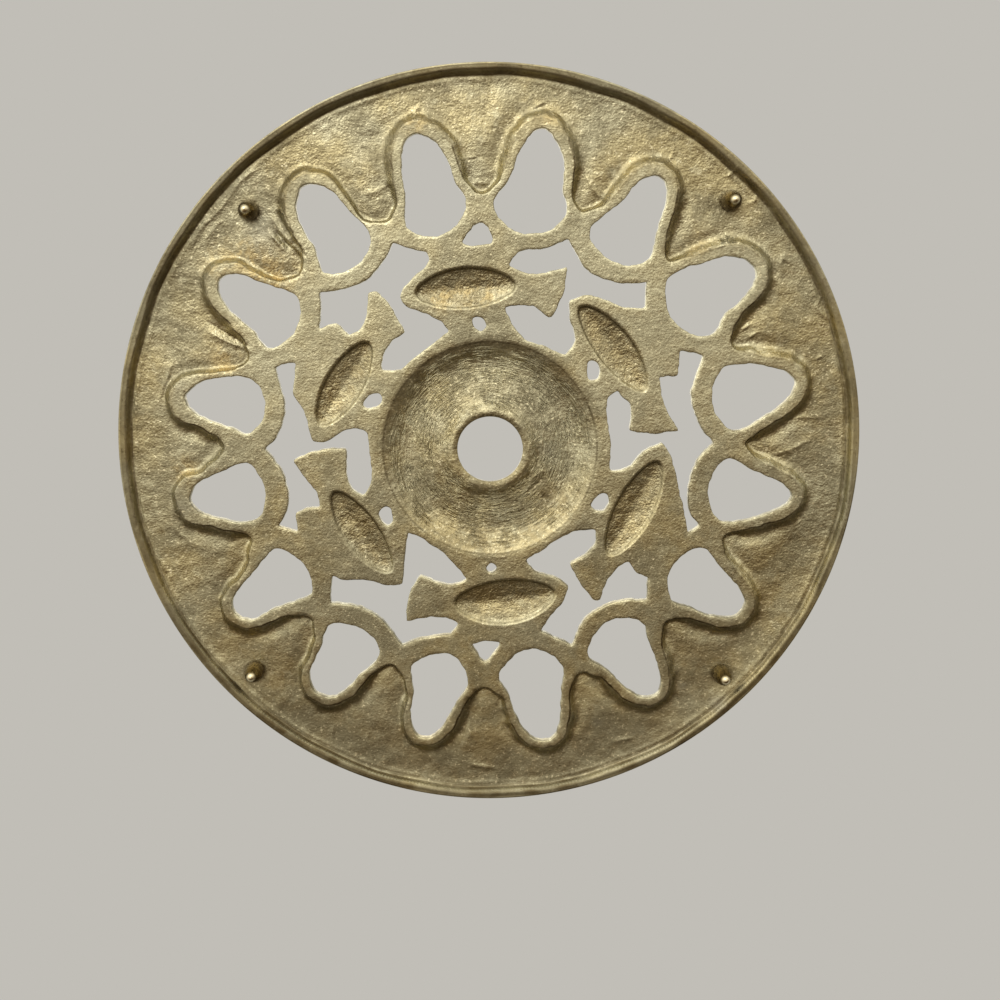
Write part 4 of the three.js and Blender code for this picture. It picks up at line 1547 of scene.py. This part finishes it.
@dataclass(frozen=True)
class CastBrass:
    """Aged sand-cast brass: matt gold-grey metal with a fine sandy grain, dirt and painted shade in its
    creases, and painted glints and painted light.
    """

    body: Triple = (174, 168, 139)
    golden: Triple = (183, 169, 126)
    dull: Triple = (146, 139, 113)
    # pale: worn metal, and painted glints and painted light
    pale: Triple = (214, 209, 176)
    glint: Triple = (248, 238, 200)
    # dark brown: dirt, and painted shade in the creases
    grime_and_shade: Triple = (74, 60, 34)
    gilt: Triple = (204, 182, 128)
    ash: Triple = (162, 158, 138)
    grain: float = 0.5
    roughness: float = 0.38
    streak: float = 0.55
    relief: float = 0.00023

    def material(self) -> bpy.types.Material:
        """Builds the material.

        Returns:
            The material.
        """
        bench = NodeBench("cast brass")
        radius, back = bench.radius(), bench.ramp(bench.facing("Z"), 0.1, -0.1)
        stained = bench.patches((7.5, 4.0, 2.0, 0.6), 0.42, 0.62)
        lattice = bench.ramp(bench.attribute(Measure.EDGE), 0.3, -0.3)
        bench.feed(bench.shader.inputs["Base Color"], self._tone(bench, radius, back, stained, lattice))
        bench.shader.inputs["Metallic"].default_value = 1.0
        bench.feed(bench.shader.inputs["Roughness"], bench.line(self.roughness, stained, 0.12))
        height = self._height(bench, radius, back, lattice)
        bump = bench.add("ShaderNodeBump", Height=height, Strength=1.0, Distance=self.relief)
        bench.feed(bench.shader.inputs["Normal"], bump.outputs[0])
        return bench.material

    def _tone(
        self, bench: NodeBench, radius: Socket, back: Socket, stained: Socket, lattice: Socket
    ) -> Socket:
        """The colour: the body with one coat after another laid over it by its share; some coats are painted
        glints, painted light and painted shade.

        Args:
            bench: The material's bench.
            radius: Distance from the hub's axis.
            back: 1 on the foot side, 0 on the pot side.
            stained: Patches of dull metal.
            lattice: 1 on the lattice, 0 on the flange.

        Returns:
            The colour.
        """
        speckle = bench.noise(self.grain * 1.5, 2.0, 3.0, 0.6)
        scraped = bench.ramp(self._brushed(bench, radius, 0.9, 5.0), 0.54, 0.7)
        dish = bench.product(bench.ramp(radius, 9.4 * MM, 12.0 * MM), self._dished(bench, radius))
        crumbs = bench.line(0.4, bench.patches((2.2, 2.0, 16.0), 0.42, 0.6), 0.8)
        outer = bench.line(1.0, bench.ramp(radius, 92.0 * MM, 93.0 * MM), -0.7)
        coats = (
            (bench.product(bench.patches((24.0, 3.0, 1.0), 0.36, 0.64), 0.8), self.golden),
            (bench.product(stained, 0.6), self.dull),
            (bench.product(bench.patches((10.0, 3.0, 14.0), 0.5, 0.66), 0.2), self.grime_and_shade),
            (bench.product(bench.patches((11.0, 3.0, 17.0), 0.44, 0.62), lattice, 0.35), self.dull),
            # pale scrape marks in the dish, partly bare metal and partly painted glints along them
            (bench.product(scraped, dish, back, 0.36), self.pale),
            # painted glints: pale patches about 3 mm across
            (bench.product(bench.patches((3.4, 3.0, 9.0, 0.6), 0.55, 0.72), 0.4), self.pale),
            # pale where the metal is worn, and painted light on the lattice and in the hub's dish
            (bench.product(bench.attribute(Tint.RUBBED_AND_LIT), back), self.pale),
            (bench.product(bench.attribute(Tint.GILT), back, crumbs), self.gilt),
            (bench.product(bench.attribute(Tint.ASH), back), self.ash),
            (bench.product(bench.ramp(speckle, 0.44, 0.26), 0.45), self.grime_and_shade),
            # painted glints: sparse bright specks, fewer on the rim's side
            (bench.product(bench.ramp(speckle, 0.59, 0.7), 0.6, outer), self.glint),
            # painted shade in the creases and on walls turned from the light, and dirt
            (bench.product(self._shade_and_grime(bench, radius), back), self.grime_and_shade),
        )
        tone = self.body
        for share, coat in coats:
            tone = bench.mix(share, tone, coat)
        return tone

    def _height(self, bench: NodeBench, radius: Socket, back: Socket, lattice: Socket) -> Socket:
        """Height of the grain: grit, sand and lumps, worn down on the rim and towards the low side.

        Args:
            bench: The material's bench.
            radius: Distance from the hub's axis.
            back: 1 on the foot side, 0 on the pot side.
            lattice: 1 on the lattice, 0 on the flange.

        Returns:
            The height.
        """
        creased = bench.total(bench.attribute(Tint.GRIME_AND_SHADE), bench.attribute(Tint.GILT))
        hub = bench.product(self._dished(bench, radius), 1.2)
        swing = bench.total(bench.product(creased, 1.3), 1.2, hub)
        grit = bench.product(bench.noise(self.grain, 1.0, 4.0, 0.5), 0.5)
        sand = bench.product(bench.noise(self.grain * 2.6, 2.0, 6.0, 0.55), 0.6)
        lumps = bench.product(bench.noise(3.2, 3.0, 5.0), swing)
        pitted = bench.product(bench.ramp(bench.attribute(Measure.DENT), 0.2, 1.2), back)
        worn = bench.product(
            bench.line(1.0, bench.ramp(radius, 90.8 * MM, 92.8 * MM), -0.75),
            bench.line(1.0, bench.ramp(bench.place("Y"), 15.0 * MM, 75.0 * MM), -0.5),
            bench.line(1.0, lattice, -0.22),
            bench.line(1.0, pitted, 1.1),
        )
        return bench.total(bench.product(bench.total(grit, sand, lumps), worn), self._streaks(bench, radius))

    def _dished(self, bench: NodeBench, radius: Socket) -> Socket:
        """1 in the hub's dish, 0 outside it."""
        return bench.ramp(radius, 27.5 * MM, 25.0 * MM)

    def _shade_and_grime(self, bench: NodeBench, radius: Socket) -> Socket:
        """Painted shade, partly dirt, in the creases: soft lines at set distances from the edges, darker on
        walls turned from the light, and a dark film on the rim's wall, stronger towards the bottom of the
        picture.

        Args:
            bench: The material's bench.
            radius: Distance from the hub's axis.

        Returns:
            Its share of the tone.
        """
        edge, dent, rim = (bench.attribute(measure) for measure in Measure)
        flange = bench.ramp(radius, 91.2 * MM, 90.6 * MM)
        flank = bench.line(1.0, bench.ramp(radius, 76.0 * MM, 83.0 * MM), -0.75)
        patchy = bench.line(0.55, bench.patches((5.0, 2.0, 12.0), 0.38, 0.6), 0.45)
        low = bench.line(0.32, bench.ramp(bench.place("Y"), -10.0 * MM, 60.0 * MM), 0.45)
        bare = bench.line(1.0, bench.band(rim, 93.05, 0.3), -0.7)
        uneven = bench.line(0.72, bench.patches((9.0, 3.0, 18.0), 0.4, 0.6), 0.36)
        lean = bench.total(bench.facing("Y"), bench.product(bench.facing("X"), 0.4))
        shaded = bench.ramp(lean, -0.15, 0.2)
        beside = bench.line(0.2, shaded, 0.8)
        # painted shade, partly dirt: a dark line at the foot of the flange's wall, darker where the wall
        # turns from the light
        crease = bench.product(bench.band(edge, 0.2, 0.38), 0.95, flank, flange, patchy)
        parts = bench.total(
            bench.product(crease, bench.line(0.6, shaded, 0.4)),
            # painted shade: a soft band over the flange's wall, mostly where it turns from the light
            bench.product(bench.band(edge, 1.1, 1.6), 0.18, flange, beside),
            # painted shade, partly dirt, in the crease at the rim's foot
            bench.product(bench.band(rim, 92.25, 0.42), 0.75, patchy),
            # a dark film on the rim's wall, stronger towards the bottom of the picture and left bare along a
            # bead
            bench.product(bench.ramp(rim, 92.35, 92.6), bench.ramp(rim, 94.8, 94.5), low, bare, uneven),
            # painted shade on the lip of the hub's eye
            bench.product(bench.ramp(radius, 9.9 * MM, 9.4 * MM), 0.22),
            # painted shade round the fish hollows' edges, mostly where they turn from the light
            bench.product(bench.band(dent, 0.5, 0.55), 0.6, beside),
            # painted shade, partly dirt, in the crease round the hub's dish
            bench.product(bench.band(radius, 27.45 * MM, 0.5 * MM), 0.55, patchy),
            # the dirt and painted shade that the mesh carries
            bench.attribute(Tint.GRIME_AND_SHADE),
        )
        return bench.math("MINIMUM", parts, 0.9)

    def _brushed(self, bench: NodeBench, radius: Socket, pitch: float, around: float) -> Socket:
        """Noise that is fine along the radius and long round the hub, as a scraper leaves it.

        The noise is read at the place's unit direction, stretched, with the radius as its third axis.

        Args:
            bench: The material's bench.
            radius: Distance from the hub's axis.
            pitch: Width of a stroke in millimetres.
            around: How many strokes follow each other round the hub, about.

        Returns:
            The noise, 0.5 on average.
        """
        way = bench.vector("NORMALIZE", bench.flat()).outputs[0]
        stretched = bench.vector("SCALE", way, Scale=around).outputs[0]
        depth = bench.add("ShaderNodeCombineXYZ", Z=bench.math("DIVIDE", radius, pitch * MM)).outputs[0]
        spot = bench.vector("ADD", stretched, depth).outputs[0]
        values = {"Scale": 1.0, "Detail": 3.0, "Roughness": 0.6, "Distortion": 1.0}
        return bench.add("ShaderNodeTexNoise", Vector=spot, **values).outputs["Fac"]

    def _streaks(self, bench: NodeBench, radius: Socket) -> Socket:
        """Height of the scraped rings in the hub's dish.

        Args:
            bench: The material's bench.
            radius: Distance from the hub's axis.

        Returns:
            The height to add.
        """
        lines = bench.total(self._brushed(bench, radius, self.streak, 6.0), -0.5)
        inner = bench.ramp(radius, 9.4 * MM, 11.0 * MM)
        patchy = bench.total(0.35, bench.patches((5.0, 2.0, 15.0), 0.4, 0.62))
        return bench.product(lines, inner, self._dished(bench, radius), patchy, 2.6)


@dataclass(frozen=True)
class TurnedBrass:
    """Smooth lathe-turned brass, stained in patches: its dark tone is partly patina and partly painted shade
    on the flanks, and its bright tip is partly polish and partly a painted highlight.
    """

    # dark tone: partly patina, partly painted shade on the flanks
    body: Triple = (124, 108, 72)
    dark: Triple = (92, 78, 48)
    polish_and_highlight: Triple = (214, 203, 168)
    roughness: float = 0.24
    relief: float = 0.00006

    def material(self) -> bpy.types.Material:
        """Builds the material.

        Returns:
            The material.
        """
        bench = NodeBench("turned brass")
        stain = bench.patches((1.6, 3.0, 7.0), 0.35, 0.65)
        # the bright tip zone: partly polish, partly painted highlight
        worn = bench.ramp(bench.place("Z"), 1.1 * MM, 0.2 * MM)
        tone = bench.mix(worn, bench.mix(stain, self.body, self.dark), self.polish_and_highlight)
        bench.feed(bench.shader.inputs["Base Color"], tone)
        bench.shader.inputs["Metallic"].default_value = 1.0
        bench.feed(bench.shader.inputs["Roughness"], bench.line(self.roughness, stain, 0.12))
        grain = bench.noise(0.9, 2.0, 8.0)
        bump = bench.add("ShaderNodeBump", Height=grain, Strength=0.3, Distance=self.relief)
        bench.feed(bench.shader.inputs["Normal"], bump.outputs[0])
        return bench.material


@dataclass
class PegFoot:
    """One turned peg: a bullet-shaped profile of radius over height, turned about its own axis."""

    name: str
    centre: tuple[float, float]
    base_radius: float = 2.5
    tip_radius: float = 0.12
    shoulder: float = 7.2
    shoulder_round: float = 0.12
    tenon_radius: float = 1.3
    tenon_top: float = 9.1
    chamfer: float = 0.1
    fillet: float = 0.05
    segments: int = 56
    levels: int = 22

    def build(self) -> bpy.types.Object:
        """Builds the peg's mesh.

        Returns:
            The peg.
        """
        share = (1.0 - np.cos(np.linspace(0.0, np.pi / 2.0, self.levels))) ** 1.15
        bullet = self.base_radius * (1.0 - (1.0 - share) ** 2.3) ** 0.5
        height = share * (self.shoulder - self.shoulder_round)
        side = np.stack([np.maximum(bullet, self.tip_radius), height], axis=1)
        top = np.array(
            [
                [self.base_radius - self.shoulder_round, self.shoulder],
                [self.tenon_radius + self.fillet, self.shoulder],
                [self.tenon_radius, self.shoulder + self.chamfer],
                [self.tenon_radius, self.tenon_top - self.chamfer],
                [self.tenon_radius - self.chamfer, self.tenon_top],
            ]
        )
        angle = np.linspace(0.0, 2.0 * np.pi, self.segments, endpoint=False)
        circle = np.stack([np.cos(angle), np.sin(angle)], axis=1)
        corners, faces = strip(turned(np.vstack([side, top]), circle, self.centre))
        ends = np.array([[*self.centre, 0.0], [*self.centre, self.tenon_top]])
        first, last = np.arange(self.segments), len(corners) - self.segments + np.arange(self.segments)
        low = np.stack([np.full(self.segments, len(corners)), np.roll(first, -1), first], axis=1)
        high = np.stack([np.full(self.segments, len(corners) + 1), last, np.roll(last, -1)], axis=1)
        name = self.name.replace("foot", "peg")
        return mesh_object(name, np.vstack([corners, ends]), np.vstack([faces, low, high]))

    def dress(self, peg: bpy.types.Object, finish: bpy.types.Material) -> None:
        """Gives the peg its finish and its body, and hides the imported node.

        Args:
            peg: The peg.
            finish: Its material.
        """
        peg.data.materials.append(finish)
        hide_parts(self.name)
        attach(peg, "root")


@dataclass(frozen=True)
class Studio:
    """Camera, lamps, floor and world.

    The trivet stands on the floor on its feet, and the photograph looks at its foot side, so the
    floor shows only from above and lets all other light through. A lamp is its name, place, side and
    power in watts.
    """

    focal: float = 43.2
    pitch: float = 9.84
    yaw: float = -0.65
    shift: Triple = (-2.53, -12.94, 307.59)
    plane: float = 4.5
    background: Triple = (193, 190, 183)
    floor_shade: Triple = (214, 211, 205)
    floor_side: float = 30000.0
    room_slope: Triple = (-0.25, -0.85, 0.0)
    room_level: float = 0.455
    room_edge: tuple[float, float] = (-0.2, 0.0)
    room_strength: float = 1.9
    room_levels: tuple[float, ...] = (0.0, 0.06, 0.2, 0.34, 1.0)
    room_shades: tuple[Triple, ...] = (
        (0.042, 0.028, 0.015), (0.118, 0.073, 0.036), (0.194, 0.141, 0.089), (0.295, 0.264, 0.22),
        (1.0, 0.97, 0.9),
    )
    lamps: tuple[tuple[str, Triple, float, float], ...] = (
        ("key", (-150.0, -300.0, -330.0), 260.0, 0.4),
        ("over", (-180.0, -260.0, 520.0), 900.0, 3.5),
    )

    def build(self) -> None:
        """Sets the scene up round the trivet."""
        self._camera()
        self._floor()
        self._world()
        for lamp in self.lamps:
            self._lamp(*lamp)

    def _camera(self) -> None:
        """Places the camera where the picture was taken from."""
        a, b = np.radians([self.pitch, self.yaw])
        turn_x = np.array([[1, 0, 0], [0, np.cos(a), -np.sin(a)], [0, np.sin(a), np.cos(a)]])
        turn_y = np.array([[np.cos(b), 0, np.sin(b)], [0, 1, 0], [-np.sin(b), 0, np.cos(b)]])
        turn = turn_x @ turn_y
        centre = -turn.T @ np.array(self.shift) + np.array([0.0, 0.0, self.plane])
        place = np.eye(4)
        place[:3, 0], place[:3, 1], place[:3, 2] = turn[0], -turn[1], -turn[2]
        place[:3, 3] = centre * MM
        data = bpy.data.cameras.new("camera")
        data.lens = self.focal
        data.sensor_width = 36.0
        data.clip_start = 0.01
        camera = bpy.data.objects.new("camera", data)
        camera.matrix_world = Matrix(place.tolist())
        bpy.context.scene.collection.objects.link(camera)
        bpy.context.scene.camera = camera

    def _floor(self) -> None:
        """A wide plain floor under the feet, seen from above only."""
        side = self.floor_side
        corners = np.array([[-side, -side, 0], [side, -side, 0], [side, side, 0], [-side, side, 0]], float)
        floor = mesh_object("floor", corners, np.array([[0, 1, 2], [0, 2, 3]]))
        bench = NodeBench("floor")
        bench.feed(bench.shader.inputs["Base Color"], colour(self.floor_shade))
        bench.shader.inputs["Roughness"].default_value = 0.9
        facing = bench.math("SUBTRACT", 1.0, bench.add("ShaderNodeNewGeometry").outputs["Backfacing"])
        seen = bench.math("MULTIPLY", bench.add("ShaderNodeLightPath").outputs["Is Camera Ray"], facing)
        clear = bench.add("ShaderNodeBsdfTransparent")
        mixed = bench.tree.nodes.new("ShaderNodeMixShader")
        bench.feed(mixed.inputs[0], seen)
        bench.feed(mixed.inputs[1], clear.outputs[0])
        bench.feed(mixed.inputs[2], bench.shader.outputs[0])
        bench.feed(bench.output.inputs["Surface"], mixed.outputs[0])
        floor.data.materials.append(bench.material)
        floor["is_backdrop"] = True

    def _world(self) -> None:
        """A world that is plain and pale all round, and a lit room straight below the trivet.

        The room's light is a linear slope of the direction, so it is bright towards the top left of the
        picture and dim towards its bottom. Camera, gloss and lamps' shade all see the same world.
        """
        world = bpy.data.worlds.new("studio")
        world.use_nodes = True
        bpy.context.scene.world = world
        tree = world.node_tree
        pale = tree.nodes["Background"]
        pale.inputs["Color"].default_value = colour(self.background)
        way = tree.nodes.new("ShaderNodeTexCoord").outputs["Generated"]
        slope = tree.nodes.new("ShaderNodeVectorMath")
        slope.operation = "DOT_PRODUCT"
        tree.links.new(way, slope.inputs[0])
        slope.inputs[1].default_value = self.room_slope
        level = tree.nodes.new("ShaderNodeMath")
        tree.links.new(slope.outputs["Value"], level.inputs[0])
        level.inputs[1].default_value = self.room_level
        shades = tree.nodes.new("ShaderNodeValToRGB")
        for place in self.room_levels[1:-1]:
            shades.color_ramp.elements.new(place)
        for element, shade in zip(shades.color_ramp.elements, self.room_shades):
            element.color = (*shade, 1.0)
        tree.links.new(level.outputs[0], shades.inputs[0])
        room = tree.nodes.new("ShaderNodeBackground")
        room.inputs["Strength"].default_value = self.room_strength
        tree.links.new(shades.outputs[0], room.inputs["Color"])
        height = tree.nodes.new("ShaderNodeSeparateXYZ")
        tree.links.new(way, height.inputs[0])
        around = tree.nodes.new("ShaderNodeMapRange")
        around.interpolation_type = "SMOOTHSTEP"
        around.inputs["From Min"].default_value, around.inputs["From Max"].default_value = self.room_edge
        tree.links.new(height.outputs["Z"], around.inputs[0])
        mixed = tree.nodes.new("ShaderNodeMixShader")
        tree.links.new(around.outputs[0], mixed.inputs[0])
        tree.links.new(room.outputs[0], mixed.inputs[1])
        tree.links.new(pale.outputs[0], mixed.inputs[2])
        tree.links.new(mixed.outputs[0], tree.nodes["World Output"].inputs["Surface"])

    def _lamp(self, name: str, place: Triple, size: float, power: float) -> None:
        """A square soft lamp that faces the hub.

        Args:
            name: The lamp's name.
            place: Its place in millimetres.
            size: Its side in millimetres.
            power: Its power in watts.
        """
        data = bpy.data.lights.new(name, "AREA")
        data.shape = "SQUARE"
        data.size = size * MM
        data.energy = power
        lamp = bpy.data.objects.new(name, data)
        back = np.array(place) / np.linalg.norm(place)
        right = np.cross([0.0, 1.0, 0.0], back)
        right /= np.linalg.norm(right)
        matrix = np.eye(4)
        matrix[:3, 0], matrix[:3, 1], matrix[:3, 2] = right, np.cross(back, right), back
        matrix[:3, 3] = np.array(place) * MM
        lamp.matrix_world = Matrix(matrix.tolist())
        bpy.context.scene.collection.objects.link(lamp)


def set_values(piece: bpy.types.Object, name: str, values: Array) -> None:
    """Stores one value for each corner of a mesh.

    Args:
        piece: The object.
        name: The attribute's name.
        values: The values.
    """
    layer = piece.data.attributes.new(name, "FLOAT", "POINT")
    layer.data.foreach_set("value", values.astype(np.float32))


def corners_of(piece: bpy.types.Object) -> Array:
    """Corners of an object's mesh in millimetres.

    Args:
        piece: The object.

    Returns:
        The corners.
    """
    places = np.empty(len(piece.data.vertices) * 3)
    piece.data.vertices.foreach_get("co", places)
    return places.reshape(-1, 3) / MM


def box_middle(name: str) -> tuple[float, float]:
    """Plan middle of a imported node's box, in millimetres."""
    low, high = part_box(name)
    return (low.x + high.x) / 2 / MM, (low.y + high.y) / 2 / MM


def main() -> list[list[float]]:
    """Builds the trivet and the studio.

    Returns:
        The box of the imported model, as two lists.
    """
    logging.basicConfig(level=logging.INFO, format="%(name)s: %(message)s")
    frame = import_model()
    packed = [list(corner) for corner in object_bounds()]
    Studio().build()
    outlines = PlanOutlines()
    outlines.read(frame["nodes"]["cast_plate"])
    relief = PlateRelief(outlines)
    feet = {name: box_middle(name) for name in FEET}
    casting = Casting(outlines, relief)
    plate = casting.build()
    casting.dress(plate, PlateTints(relief, tuple(feet.values())), CastBrass().material())
    LOG.info("plate: %d triangles", len(plate.data.polygons))
    finish = TurnedBrass().material()
    for name, centre in feet.items():
        foot = PegFoot(name, centre)
        peg = foot.build()
        foot.dress(peg, finish)
        LOG.info("%s: %d triangles", peg.name, len(peg.data.polygons))
    bpy.context.scene.view_settings.view_transform = "Standard"
    return packed


if __name__ == "__main__":
    packed_box = main()
